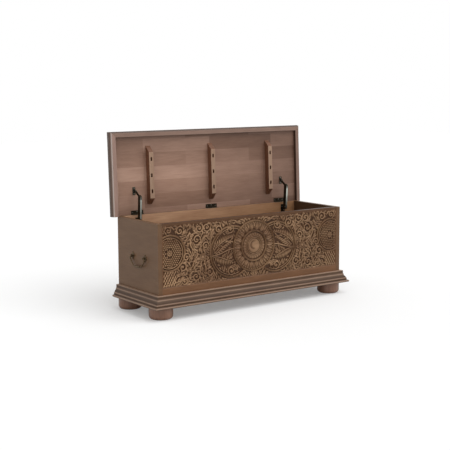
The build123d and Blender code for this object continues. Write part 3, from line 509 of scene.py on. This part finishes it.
def worn_metal(name, deep, pale, bright_worn_and_highlit_edge, edge, roughness, skin, dent):
    """A dark metal with a mottled skin, bright at its edges, partly as wear and partly as a painted
    highlight.
    A stay's arm also has a painted highlight on its front, up to a little below the arm's top."""
    material, tree, surface = new_material(name)
    place = add(tree, "TexCoord").outputs["Object"]
    mottle = add(tree, "TexNoise", {"Vector": place, "Scale": 1 / (skin * MM), "Detail": 4}).outputs["Fac"]
    tone = painted(tree, deep, (mottle, pale))
    if name.endswith("arms"):
        lower = across_object(tree, "Z", highlight_top - 20 * MM, highlight_top, 1.0, 0.0)
        share = add(tree, "Math", {0: facing(tree, "Y", -0.85, -0.95), 1: lower}, operation="MULTIPLY")
        tone = painted(tree, tone, (share, ARM_FRONT_HIGHLIGHT))
    rounded, worn_and_highlit_share = rounded_edges(tree, edge * MM, 0.80, 0.8)
    relief = add(tree, "Bump", {"Height": mottle, "Strength": 0.4, "Distance": dent * MM, "Normal": rounded})
    look = {"Base Color": painted(tree, tone, (worn_and_highlit_share, bright_worn_and_highlit_edge)), "Metallic": 1.0, "Roughness": roughness}
    shader = add(tree, "BsdfPrincipled", look | {"Normal": relief})
    tree.links.new(shader.outputs[0], surface)
    return material


metals = (worn_metal(name, *finish) for name, finish in METALS.items())
blackened, plated, highlighted_arm, dull_steel, forged = metals
dress([name for name in nodes if "_leaf" in name] + ["hinge_pins"], blackened)
dress([name for name in nodes if name.startswith("stay_")], plated)
dress(["stay_left_arm", "stay_right_arm"], highlighted_arm)
dress([name for name in nodes if "screws" in name] + ["foot_bolts"], dull_steel)
dress([name for name in nodes if name.startswith("handle_")], forged)
print("metals:", list(METALS))

# %% [markdown]
# ## How the carving is built
#
# The carver sinks the ground of the front board by eight millimetres and leaves the pattern standing:
# rings, stems, leaves, petals and beads. A height map would do for the big forms, but small leaves have
# steep walls that a grid of points makes ragged. So each form is a small closed surface of its own that
# stands in the ground, as crisp as the chisel left it. Every one is the same kind of grid, rows along the
# form and columns round its section, and one function turns such a grid into faces. The carving's numbers
# are millimetres up to the last step.

# %% Grid helpers
PANEL = np.array(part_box("front_panel")) / MM
(panel_left, panel_front, panel_foot), (panel_right, panel_back, panel_top) = PANEL
CARVE_DEPTH = 8
FULL_HEIGHT = 7.9  # just short of the board's face
GROUND = panel_front + CARVE_DEPTH
FIELD_HALF = panel_right - 2
FIELD_LOW = panel_foot + 98
FIELD_HIGH = panel_top - 9
ROOT = 1.0  # how far a form's foot goes into the ground


def on_panel(x, z, rise):
    """Points on the front, in metres, from millimetres: x to the right, z up, and rise out of the sunk
    ground towards the viewer."""
    x, z, rise = np.broadcast_arrays(x, z, rise)
    return np.stack([x, GROUND - rise, z], axis=-1) * MM


def tubes(points, closed=False):
    """Closed surfaces from grids of points (count, rows, columns, 3). Columns always join up round the
    section; rows join up too when closed, or else the first and last row are capped."""
    count, rows, columns, _ = points.shape
    index = np.arange(count * rows * columns).reshape(count, rows, columns)
    ahead = np.roll(index, -1, axis=1)
    if not closed:
        index, ahead = index[:, :-1], ahead[:, :-1]
    beside, ahead_beside = np.roll(index, -1, axis=2), np.roll(ahead, -1, axis=2)
    faces = [np.stack([index, ahead, ahead_beside, beside], axis=-1).reshape(-1, 4)]
    if not closed:
        faces.append(index[:, 0])
        faces.append(ahead[:, -1, ::-1])
    return points.reshape(-1, 3), faces


def mirrored(shape):
    """The same shape on the other side of the middle, its faces turned round so they still look out."""
    points, faces = shape
    return points * (-1, 1, 1), [corners[:, ::-1] for corners in faces]


def join(shapes):
    """Several shapes as one list of points and faces."""
    starts = np.cumsum([0] + [len(points) for points, _ in shapes])
    faces = [corners + start for start, (_, group) in zip(starts, shapes) for corners in group]
    return np.concatenate([points for points, _ in shapes]), faces


def mesh_piece(name, shape, material, body="box", sharp=40):
    """Makes an object of a shape, smooth except at edges that turn by more than `sharp` degrees."""
    points, faces = shape
    mesh = bpy.data.meshes.new(name)
    mesh.from_pydata(points.tolist(), [], [corners for group in faces for corners in group.tolist()])
    mesh.shade_smooth()
    mesh.set_sharp_from_angle(angle=math.radians(sharp))
    mesh.materials.append(material)
    piece = bpy.data.objects.new(name, mesh)
    bpy.context.scene.collection.objects.link(piece)
    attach(piece, body)
    print(f"{name}: {len(points)} points, {len(mesh.polygons)} faces")
    return piece


print("carved field in mm:", round(2 * FIELD_HALF), "by", round(FIELD_HIGH - FIELD_LOW))

# %% [markdown]
# ## The board behind the carving
#
# The front board is a plain slab with a shallow tray sunk in it. The tray's floor keeps the marks of the
# gouge, so it is a grid whose height ripples by a millimetre or two, and it rises towards the rim, where
# the carver had less room to swing. Its wall leans out a little, as a chisel cut does. Four strips and
# five flat faces close the slab round it, and the strip above it is painted darker, as shade under the
# lid. The colour follows the depth below the face: dark in the hollows, stain with painted shade, and
# paler on the tops, where stain was rubbed off. Cloudy patches are browner, and the right end is darker.

# %% Carved board
FLOOR_STEP = 4
WALL_LEAN = 2.0
GOUGE_RIPPLE = 1.1
RIM_RISE = 4.5
RIM_SLOPE = 18
CLOUD_WIDTH = 70 * MM
CLOUD_START = (0.74, 0.22, 1.06)  # where in the noise the clouds are cut from


def sunk_board():
    """The slab with its tray. The floor rises towards the rim as rise * (1 - d / slope)^2 for a distance d
    from the rim, and the gouge adds ripple * (1 + sin * sin), of x and of z, each bent by the other."""
    columns = round(2 * FIELD_HALF / FLOOR_STEP) + 1
    rows = round((FIELD_HIGH - FIELD_LOW) / FLOOR_STEP) + 1
    x, z = np.meshgrid(
        np.linspace(WALL_LEAN - FIELD_HALF, FIELD_HALF - WALL_LEAN, columns),
        np.linspace(FIELD_LOW + WALL_LEAN, FIELD_HIGH - WALL_LEAN, rows),
    )
    ripple = np.sin(x / 3.1 + 2 * np.sin(z / 9)) * np.sin(z / 3.7 + np.sin(x / 14))
    inset = np.minimum.reduce([FIELD_HALF - np.abs(x), z - FIELD_LOW, FIELD_HIGH - z]) - WALL_LEAN
    slope = RIM_RISE * np.clip(1 - inset / RIM_SLOPE, 0, 1) ** 2
    floor_points = on_panel(x, z, GOUGE_RIPPLE * (1 + ripple) + slope).reshape(-1, 3)
    index = np.arange(rows * columns).reshape(rows, columns)
    floor_faces = np.stack([index[:-1, :-1], index[:-1, 1:], index[1:, 1:], index[1:, :-1]], axis=-1)

    round_it = np.array([(0, 0), (1, 0), (1, 1), (0, 1)])
    rim = np.where(round_it, (FIELD_HALF, FIELD_HIGH), (-FIELD_HALF, FIELD_LOW))
    outer = np.where(round_it, (panel_right, panel_top), (panel_left, panel_foot))
    rim_points, outer_points = on_panel(*rim.T, CARVE_DEPTH), on_panel(*outer.T, CARVE_DEPTH)
    back_points = outer_points + (0, (panel_back - panel_front) * MM, 0)
    first = rows * columns
    rim_index, outer_index, back_index = (np.arange(4) + first + 4 * step for step in range(3))
    turn = np.roll(np.arange(4), -1)
    frame_faces = np.stack([outer_index, outer_index[turn], rim_index[turn], rim_index], axis=-1)
    edge_faces = np.stack([back_index, back_index[turn], outer_index[turn], outer_index], axis=-1)
    sides = [index[0], index[:, -1], index[-1, ::-1], index[::-1, 0]]
    walls = [np.array([[rim_index[k], rim_index[turn[k]], *side[::-1]]]) for k, side in enumerate(sides)]
    faces = [floor_faces.reshape(-1, 4), frame_faces, edge_faces, back_index[None, ::-1], *walls]
    return np.concatenate([floor_points, rim_points, outer_points, back_points]), faces


board_wood, tree, surface = new_material("lacquered_hardwood_front_board")
rail = wood_tone(tree, "#63442d", "#7a563b")
# Painted shade: the darker strip above the tray, under the lid.
shaded_strip_above = wood_tone(tree, "#4c3322", "#60432d")
# Stain and painted shade in the hollows of the tray.
hollow_stain_and_shade = wood_tone(tree, "#38220f", "#4c301b")
above = across_object(tree, "Z", (FIELD_HIGH - 1) * MM, (FIELD_HIGH + 1) * MM)
sunk = across_object(tree, "Y", (panel_front + 1) * MM, (GROUND - 1) * MM)
tone = painted(tree, rail, (above, shaded_strip_above), (sunk, hollow_stain_and_shade))
lacquer(tree, surface, tone, "#8c6c52", edge=0.9 * MM, shine=0.2)

carved_wood, tree, surface = new_material("lacquered_hardwood_carving")
left_tops = wood_tone(tree, "#987657", "#b4906e")
right_tops = wood_tone(tree, "#86684c", "#9f7f61")
clouded_tops = wood_tone(tree, "#76573f", "#8b6a4f")
left_hollows = wood_tone(tree, "#3b230e", "#50311a")
right_hollows = wood_tone(tree, "#432a14", "#593a22")
rightwards = across_object(tree, "X", panel_left * MM, panel_right * MM)
cloud_noise = grain_noise(tree, "figure", CLOUD_WIDTH, ALONG_X, 2, CLOUD_START)
clouds = add(tree, "MapRange", {0: cloud_noise, 1: 0.42, 2: 0.62})
# Deep below the face the colour darkens: stain and painted shade in the hollows.
sunk = across_object(tree, "Y", (GROUND - 6.8) * MM, (GROUND - 1.5) * MM)
hollow_stain_and_shade = painted(tree, left_hollows, (rightwards, right_hollows))
tone = painted(tree, left_tops, (rightwards, right_tops), (clouds, clouded_tops), (sunk, hollow_stain_and_shade))
lacquer(tree, surface, tone, "#a88a70", edge=0.8 * MM, coat=0.0, shine=0.2)

board = mesh_piece("carved_board", sunk_board(), board_wood, sharp=30)
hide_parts("front_panel")

# %% [markdown]
# ## Rings and stems
#
# A ring or a stem is a bar left standing along a path. Its section is a low round, and the big rings have
# a groove down the middle, so that they read as two fine lines. A path is a list of points along the
# bar's middle; the section stands across it, and its two feet go into the ground. A width and a height
# that shrink along the path make a stem taper.

# %% Bars
ACROSS = np.array([-1.0, -0.9, -0.6, -0.25, 0.0, 0.25, 0.6, 0.9, 1.0])
ROUND_SECTION = np.array([0.0, 0.5, 0.85, 0.97, 1.0, 0.97, 0.85, 0.5, 0.0])
GROOVED_SECTION = np.array([0.0, 0.75, 1.0, 0.6, 0.45, 0.6, 1.0, 0.75, 0.0])


def bar(path, width, height, section=ROUND_SECTION, closed=False):
    """A bar along a path (rows, 2). At each row the section runs across the path's direction:
    point = path + across * width / 2, and rise = height * section - a root at both feet."""
    if closed:
        direction = np.roll(path, -1, axis=0) - np.roll(path, 1, axis=0)
    else:
        direction = np.gradient(path, axis=0)
    direction /= np.linalg.norm(direction, axis=1, keepdims=True)
    across = np.stack([-direction[:, 1], direction[:, 0]], axis=1)
    half = np.broadcast_to(width, len(path))[:, None] / 2
    tall = np.broadcast_to(height, len(path))[:, None]
    x = path[:, :1] + across[:, :1] * half * ACROSS
    z = path[:, 1:] + across[:, 1:] * half * ACROSS
    rise = tall * section - np.where(np.abs(ACROSS) == 1, ROOT, 0)
    return tubes(on_panel(x, z, rise)[None], closed)


def about(centre, reach, angle):
    """Places at a reach and an angle from a centre: centre + reach * (cos, sin)."""
    return np.stack([centre[0] + reach * np.cos(angle), centre[1] + reach * np.sin(angle)], axis=-1)


def arc(centre, radius, start, end, step=4):
    """Points on a circle from one angle to another, in degrees, anticlockwise from +X."""
    rows = max(8, round(abs(math.radians(end - start)) * radius / step))
    return about(centre, radius, np.radians(np.linspace(start, end, rows)))


def curve(*controls, rows=26):
    """A cubic Bezier curve: the sum of four control points weighted by (1-s)^3, 3s(1-s)^2, 3s^2(1-s), s^3."""
    s = np.linspace(0, 1, rows)[:, None]
    weights = ((1 - s) ** 3, 3 * s * (1 - s) ** 2, 3 * s**2 * (1 - s), s**3)
    return sum(weight * np.array(control) for weight, control in zip(weights, controls))


def taper(rows, start, middle, end):
    """A value along a path: an end's value and the middle's, mixed by sin(pi * s) for s from 0 to 1."""
    s = np.linspace(0, 1, rows)
    outer = np.where(s < 0.5, start, end)
    return outer + (middle - outer) * np.sin(np.pi * s)


print("a bar has", len(ACROSS), "points round its section")

# %% [markdown]
# ## Leaves, petals and beads
#
# Every leaf is one lens-shaped grid, widest somewhere along it, with a vein cut down the middle of a big
# one and a round back on a small lobe. Hundreds are made at once, because each of their numbers is an
# array: where they start, which way they point, how long, how wide, how bent. A bead is a dome, and a
# flower is a bead with petals round it.

# %% Leaves and beads
LEAF_ROWS = np.array([0.0, 0.14, 0.38, 0.64, 0.86, 1.0])
LEAF_ACROSS = np.array([-1.0, -0.62, 0.0, 0.62, 1.0])
VEINED_SECTION = np.array([0.0, 1.0, 0.5, 1.0, 0.0])
LOBE_SECTION = np.array([0.0, 0.85, 1.0, 0.85, 0.0])


def leaves(x, z, angle, length, width, height, bend=0.0, fullness=0.7, section=VEINED_SECTION):
    """Leaves from arrays of numbers, in millimetres and radians. Along a leaf s goes from 0 to 1:
    half-width = width / 2 * (0.1 + 0.9 * sin(pi * s^fullness)^0.75), so a fullness above 1 puts the widest
    part near the tip, as in a lobe. The spine is an arc that turns by `bend`, and the height follows the
    section, times 0.45 + 0.55 * sin(pi * s^0.8)."""
    x, z, angle, length, width, height, bend = (
        value.reshape(-1, 1, 1) for value in np.broadcast_arrays(x, z, angle, length, width, height, bend)
    )
    s = LEAF_ROWS[None, :, None]
    heading = angle + bend * (s - 0.5)
    middle = (heading + angle - bend * 0.5) / 2
    half = width / 2 * (0.10 + 0.90 * np.sin(np.pi * s**fullness) ** 0.75)
    crown = 0.45 + 0.55 * np.sin(np.pi * np.clip(s, 0.06, 0.94) ** 0.8)
    rise = height * section * crown - np.where(np.abs(LEAF_ACROSS) == 1, ROOT, 0)
    x = x + length * s * np.cos(middle) - np.sin(heading) * half * LEAF_ACROSS
    z = z + length * s * np.sin(middle) + np.cos(heading) * half * LEAF_ACROSS
    return tubes(on_panel(x, z, rise))


def turned(x, z, reach, rise, sides):
    """Round forms: rows at each reach from the middle (x, z), foot first, each at its own rise."""
    turn = -2 * np.pi * np.arange(sides) / sides
    return tubes(on_panel(x + reach * np.cos(turn), z + reach * np.sin(turn), rise))


def domes(x, z, radius, height, sides=10):
    """Round beads: radius * cos(lift) across and height * sin(lift) out, for a lift from 0 to 80 degrees."""
    x, z, radius, height = (value.reshape(-1, 1, 1) for value in np.broadcast_arrays(x, z, radius, height))
    lift = np.radians([0, 0, 30, 58, 80])[:, None]
    foot = np.array([ROOT, 0, 0, 0, 0])[:, None]
    return turned(x, z, radius * np.cos(lift), height * np.sin(lift) - foot, sides)


def petals(centre, inner, outer, count, width, height, turn=0.0, bend=0.0, section=VEINED_SECTION):
    """A ring of leaves that point away from a centre, at turn + 2 * pi * k / count."""
    angle = turn + 2 * np.pi * np.arange(count) / count
    return leaves(*about(centre, inner, angle).T, angle, outer - inner, width, height, bend, section=section)


print("a leaf has", len(LEAF_ROWS) * len(LEAF_ACROSS), "points")

# %% [markdown]
# ## The rosette
#
# In the middle stand two rings, one inside the other. The ground inside them is cut less deep than the
# rest, so the petals stand close together with only thin dark lines between them, but a deep channel runs
# beside each ring and sets it off. The inner ring holds a wheel of petals round a boss: a dome in two fine
# rings, with a C-shaped groove in its top. Between the rings runs a wreath of overlapping leaves, with
# beads on its outer side.

# %% Rosette
ROSETTE = (0, panel_foot + 264)
RING_WIDTH = 8
OUTER_RING = 138
INNER_RING = 84
BOSS = 37


def curled_boss(centre, radius, height, sides=84):
    """A dome with a C-shaped groove, open to the right. With share = distance / radius:
    rise = height * (0.7 + 0.3 * sqrt(1 - share^2) - 0.85 * ring * window),
    ring = exp(-((share - 0.55 - 0.1 * sin(angle)) / 0.13)^2), and window goes from 0 on the right to 1."""
    share = np.concatenate([[1.0], np.linspace(1.0, 0.04, 24)])[None, :, None]
    turn = -2 * np.pi * np.arange(sides) / sides
    ring = np.exp(-(((share - 0.55 - 0.10 * np.sin(turn)) / 0.13) ** 2))
    window = np.clip(0.45 - 0.9 * np.cos(turn), 0, 1)
    rise = height * (0.7 + 0.3 * np.sqrt(1 - share**2) - 0.85 * ring * window)
    rise[:, 0] = -ROOT
    return turned(*centre, radius * share, rise, sides)


ROSETTE_GROUND = [  # (radius, rise) in mm, with a deep channel inside each ring and outside the inner one
    (134, -1), (134, 0.5), (127, 0.5), (124, 2.6), (93, 2.8), (90, 0.6), (71, 0.6), (69, 3.4), (54, 3.6),
    (52, 2.2), (38, 2.2), (5, 3.6),
]
ROSETTE_RINGS = [  # radius at the middle of the bar, its width and height, its section
    (OUTER_RING - RING_WIDTH / 2, RING_WIDTH, FULL_HEIGHT, GROOVED_SECTION),
    (INNER_RING - RING_WIDTH / 2, RING_WIDTH, 7.8, GROOVED_SECTION),
    (BOSS + 6, 5, 7.2, ROUND_SECTION),
    (BOSS + 14, 4, 6.8, ROUND_SECTION),
]
WHEEL = (BOSS + 17, INNER_RING - RING_WIDTH - 4)  # where its petals begin and end
WREATH = (INNER_RING + 2, OUTER_RING - 12)
WREATH_LOBES = (INNER_RING + 14, OUTER_RING - 10)
BEADS = 58

bead_angle = 2 * np.pi * np.arange(BEADS) / BEADS
bead_places = about(ROSETTE, OUTER_RING - RING_WIDTH - 5.5, bead_angle)
rosette_shapes = [
    turned(*ROSETTE, *np.array(ROSETTE_GROUND).T[:, None, :, None], sides=96),
    *[bar(arc(ROSETTE, radius, 0, 360)[:-1], *size, closed=True) for radius, *size in ROSETTE_RINGS],
    curled_boss(ROSETTE, BOSS, 6.6),
    petals(ROSETTE, *WHEEL, 26, 12.5, 6.2, bend=0.4, section=LOBE_SECTION),
    petals(ROSETTE, *WREATH, 18, 23, 7.6, turn=0.05, bend=1.5),
    petals(ROSETTE, *WREATH_LOBES, 18, 11, 6.2, turn=0.20, bend=1.2, section=LOBE_SECTION),
    domes(*bead_places.T, 4.8, 6.6),
]
mesh_piece("carved_rosette", join(rosette_shapes), carved_wood)

# %% [markdown]
# ## Side rings, stems and feathery leaves
#
# A larger ring goes behind the rosette on each side. In it an S-shaped stem carries three feathery leaves,
# two above it and one below, each a stalk with lobes along one side. A smaller ring runs off each end, with
# a small flower in a net of beads in it and rows of scales under it. Between the two rings are a flower
# with a spray of stalks and a bud. The carver drew one half and turned the pattern over for the other, so
# all of it is made on the right and mirrored.

# %% Large scrollwork
SIDE_RING = (146, ROSETTE[1] - 17)
SIDE_RADIUS = 138
END_RING = (530, ROSETTE[1] + 10)
END_RADIUS = 95
FLOWER = (330, ROSETTE[1] - 28)
FLOWER_RADIUS = 27
BUD = (408, ROSETTE[1] - 84)
BUD_RADIUS = 18
NET_PITCH, NET_RISE = 11, 10  # mm across and up
SCALE_PITCH, SCALE_RISE = 15, 13
FINE_BAR = (4.5, 7.0)  # width and height of the line inside each ring
RING_BAND = 18  # from a ring's outer edge to the inner edge of its fine line


def distance(x, z, middle):
    """How far places are from a middle, or from each of several."""
    return np.hypot(x - middle[0], z - middle[1])


def inside_field(path, margin=2):
    """The part of a path that lies inside the carved field."""
    x, z = path.T
    keep = (np.abs(x) < FIELD_HALF - margin) & (z > FIELD_LOW + margin) & (z < FIELD_HIGH - margin)
    return path[keep]


def beyond_rosette(path):
    """The part of a path that lies outside the rosette's outer ring."""
    return path[distance(*path.T, ROSETTE) > OUTER_RING - 3]


def feather(stalk, count, shortest, longest, spread, hand):
    """A feathery leaf: a stalk with lobes along one side, longest in the middle. A lobe leaves the stalk at
    spread * (1.15 - 0.5 * share), for its share of the way along. Also gives the places that they take."""
    share = np.linspace(0.05, 0.97, count)
    rows = share * (len(stalk) - 1)
    x, z = (np.interp(rows, np.arange(len(stalk)), part) for part in stalk.T)
    direction = np.gradient(stalk, axis=0)
    heading = np.interp(rows, np.arange(len(stalk)), np.unwrap(np.arctan2(direction[:, 1], direction[:, 0])))
    heading = heading + hand * spread * (1.15 - 0.5 * share)
    length = shortest + (longest - shortest) * np.sin(np.pi * share**0.8)
    width = 0.88 * np.linalg.norm(np.diff(stalk, axis=0), axis=1).sum() / count
    lobes = leaves(x, z, heading, length, width, 7.8, hand * 0.7, fullness=1.5, section=LOBE_SECTION)
    rib = bar(stalk, taper(len(stalk), 3.5, 6, 3.5), FULL_HEIGHT)
    taken = about((x, z), length * np.linspace(0.1, 1, 6)[:, None], heading)
    return join([lobes, rib]), taken.reshape(-1, 2)


feathers, feathers_taken = zip(
    feather(curve((262, 288), (226, 296), (192, 268), (148, 258)), 11, 20, 42, 1.15, 1),
    feather(curve((262, 318), (240, 350), (200, 372), (140, 388)), 12, 16, 34, 1.0, -1),
    feather(curve((252, 304), (222, 316), (196, 352), (146, 362)), 9, 12, 26, 0.9, 1),
)
main_stem = curve((136, 322), (176, 326), (214, 292), (284, 296), rows=34)
spray = [
    curve((322, 280), (312, 250), (306, 220), (318, 178)),
    curve((338, 278), (344, 246), (352, 220), (346, 176)),
    curve((350, 292), (384, 290), (392, 262), (398, 250)),
    curve((338, 322), (352, 356), (336, 392), (300, 420)),
    curve((352, 314), (392, 330), (416, 372), (404, 430)),
    curve((286, 306), (276, 350), (286, 400), (262, 452)),
    curve((384, 202), (440, 196), (510, 176), (572, 168)),
    curve((472, 226), (486, 206), (506, 190), (520, 178)),
    curve((520, 240), (534, 226), (548, 220), (566, 212)),
]
net_x, net_z = np.meshgrid(np.arange(452, 572, NET_PITCH), np.arange(-7, 8) * NET_RISE + END_RING[1])
net_x = net_x + (np.arange(len(net_x)) % 2)[:, None] * NET_PITCH / 2
from_eye = distance(net_x, net_z, END_RING)
in_net = (from_eye < END_RADIUS - 23) & (from_eye > 25) & (net_x < FIELD_HALF - 6)
scale_x, scale_z = np.meshgrid(np.arange(496, 572, SCALE_PITCH), np.arange(246, 176, -SCALE_RISE))
scale_x = scale_x + (np.arange(len(scale_z)) % 2)[:, None] * SCALE_PITCH / 2
in_scales = scale_x < FIELD_HALF - 9
scale_x, scale_z = scale_x[in_scales], scale_z[in_scales]
side_line = arc(SIDE_RING, SIDE_RADIUS - RING_WIDTH / 2, -126, 126)
side_fine_line = arc(SIDE_RING, SIDE_RADIUS - 16, -112, 112)
end_line = arc(END_RING, END_RADIUS - RING_WIDTH / 2, 62, 298)
end_fine_line = arc(END_RING, END_RADIUS - 17, 54, 306)
scroll_shapes = [
    bar(beyond_rosette(inside_field(side_line)), RING_WIDTH, FULL_HEIGHT, GROOVED_SECTION),
    bar(beyond_rosette(inside_field(side_fine_line)), *FINE_BAR),
    bar(inside_field(end_line), RING_WIDTH, FULL_HEIGHT, GROOVED_SECTION),
    bar(inside_field(end_fine_line), *FINE_BAR),
    bar(main_stem, taper(len(main_stem), 6, 7, 4), taper(len(main_stem), FULL_HEIGHT, FULL_HEIGHT, 6)),
    *feathers,
    petals(FLOWER, 8, FLOWER_RADIUS, 9, 14, 7.2),
    domes(*FLOWER, 10, 7.8, sides=20),
    petals(BUD, 5, BUD_RADIUS, 8, 11, 6.6, turn=0.2),
    domes(*BUD, 7, 7.4, sides=16),
    petals(END_RING, 6, 20, 8, 11, 6.4, bend=0.4, section=LOBE_SECTION),
    domes(*END_RING, 6, 7.2, sides=16),
    domes(net_x[in_net], net_z[in_net], 5.1, 7.4, sides=8),
    leaves(scale_x, scale_z, -np.pi / 2 + 0.3, 19, 13, 7.6, 0.4, 1.1, LOBE_SECTION),
    *[bar(stalk, taper(len(stalk), 6, 5.5, 3.5), 6.8) for stalk in spray],
]
large = join(scroll_shapes)
mesh_piece("carved_scrollwork", join([large, mirrored(large)]), carved_wood)

# %% [markdown]
# ## The small foliage
#
# All the ground that is left is packed with leaflets, curls and beads, none alike. They are placed as a
# carver fills a ground: evenly, about one every thirteen millimetres, and swirling round the nearest curl.
# A jittered grid gives even places without any two falling together. Places that a bigger form already
# takes are left out. The random numbers are seeded, so the chest comes out the same each time.

# %% Foliage
SPACING = 13
JITTER = 0.3  # of the spacing
ROOM = 6  # kept from a ring
rng = np.random.default_rng(7)

CURLS = np.array([  # middle and radius of the right half's small curls, and the way each winds
    (150, 208, 18, 1), (286, 214, 20, 1), (158, 426, 18, 1), (232, 432, 20, -1), (306, 450, 20, 1),
    (366, 392, 22, -1), (352, 448, 18, 1), (470, 446, 20, -1), (538, 452, 17, 1), (430, 306, 18, -1),
    (372, 200, 19, 1), (452, 256, 20, 1), (440, 184, 15, -1), (312, 356, 17, -1),
])
HOLLOWS = np.array([  # middle and radius of places where the ground is left bare
    (398, 436, 15), (432, 456, 9), (390, 272, 12), (262, 386, 10), (238, 232, 9), (322, 240, 8),
    (462, 330, 9), (352, 300, 8), (478, 206, 9), (184, 450, 8), (404, 348, 9), (504, 440, 8), (262, 440, 8),
])
curl_middle, curl_radius, curl_hand = CURLS[:, :2], CURLS[:, 2], CURLS[:, 3]
taken_discs = np.concatenate([*feathers_taken, main_stem])
taken_scales = np.stack([scale_x, scale_z - 8], axis=1)


def curl(middle, radius, hand, start):
    """A bar that winds in a turn and a half: the distance from the middle shrinks as radius * (1 - s)^0.9,
    and a tail comes in from half as far out again."""
    s = np.linspace(-0.45, 0.80, 30)
    angle = start + hand * 2.4 * np.pi * s
    reach = radius * (1 - s) ** 0.9
    x, z = about(middle, reach, angle).T
    path = np.stack([np.minimum(x, FIELD_HALF - 3), np.clip(z, FIELD_LOW + 3, FIELD_HIGH - 3)], axis=1)
    return bar(path, taper(len(path), 3, 7.5, 5), 7.6)


def free_of_forms(x, z):
    """True where a leaflet has room between the rings, flowers and stems."""
    free = (x < FIELD_HALF - ROOM) & (z > FIELD_LOW + ROOM / 2) & (z < FIELD_HIGH - ROOM)
    rings = ((ROSETTE, OUTER_RING + ROOM), (END_RING, END_RADIUS + ROOM))
    for middle, radius in (*rings, (FLOWER, FLOWER_RADIUS), (BUD, BUD_RADIUS)):
        free &= distance(x, z, middle) > radius
    free &= np.abs(distance(x, z, SIDE_RING) - SIDE_RADIUS + RING_BAND / 2) > ROOM + RING_BAND / 2
    for discs, radius in ((taken_discs, 9), (taken_scales, 12), (HOLLOWS[:, :2], HOLLOWS[:, 2])):
        free &= (distance(x[:, None], z[:, None], discs.T) > radius).all(axis=1)
    return free


def free_places(spacing):
    """Even but irregular places on the free ground of the right half: a grid with every other row shifted,
    and then each point moved by a random share of the spacing."""
    columns, rows = np.arange(0, FIELD_HALF, spacing), np.arange(FIELD_LOW, FIELD_HIGH, spacing * 0.87)
    x, z = np.meshgrid(columns, rows)
    x = x + spacing / 2 * (np.arange(len(rows)) % 2)[:, None]
    x = (x + rng.uniform(-JITTER, JITTER, x.shape) * spacing).ravel()
    z = (z + rng.uniform(-JITTER, JITTER, z.shape) * spacing).ravel()
    free = free_of_forms(x, z)
    return x[free], z[free]


def foliage_half():
    """Leaflets, curls and beads for the right half. A leaflet heads round its nearest curl."""
    x, z = free_places(SPACING)
    gap = distance(x[:, None], z[:, None], curl_middle.T) - curl_radius
    nearest = gap.argmin(axis=1)
    outside = gap.min(axis=1) > 0
    x, z, nearest = x[outside], z[outside], nearest[outside]
    hand = curl_hand[nearest]
    from_curl = np.arctan2(z - curl_middle[nearest, 1], x - curl_middle[nearest, 0])
    heading = from_curl + hand * (np.pi / 2 - 0.6) + rng.normal(0, 0.25, len(x))
    length = rng.uniform(18, 28, len(x))
    width = length * rng.uniform(0.36, 0.48, len(x))
    height = rng.uniform(5.0, 7.9, len(x))
    starts = about((x, z), -length / 2, heading)
    leaflets = leaves(*starts.T, heading, length, width, height, hand * 0.9, 0.9, LOBE_SECTION)
    curl_start = rng.uniform(0, 2 * np.pi, len(CURLS))
    curls = [curl(*numbers) for numbers in zip(curl_middle, curl_radius, curl_hand, curl_start)]
    eyes = domes(*curl_middle.T, 5.5, 7.8)
    bead_x, bead_z = free_places(SPACING * 2.3)
    beads = domes(bead_x, bead_z, rng.uniform(3.6, 5.4, len(bead_x)), 7.6, sides=8)
    return join([leaflets, *curls, eyes, beads])


half = foliage_half()
mesh_piece("carved_foliage_right", half, carved_wood)
mesh_piece("carved_foliage_left", mirrored(half), carved_wood)
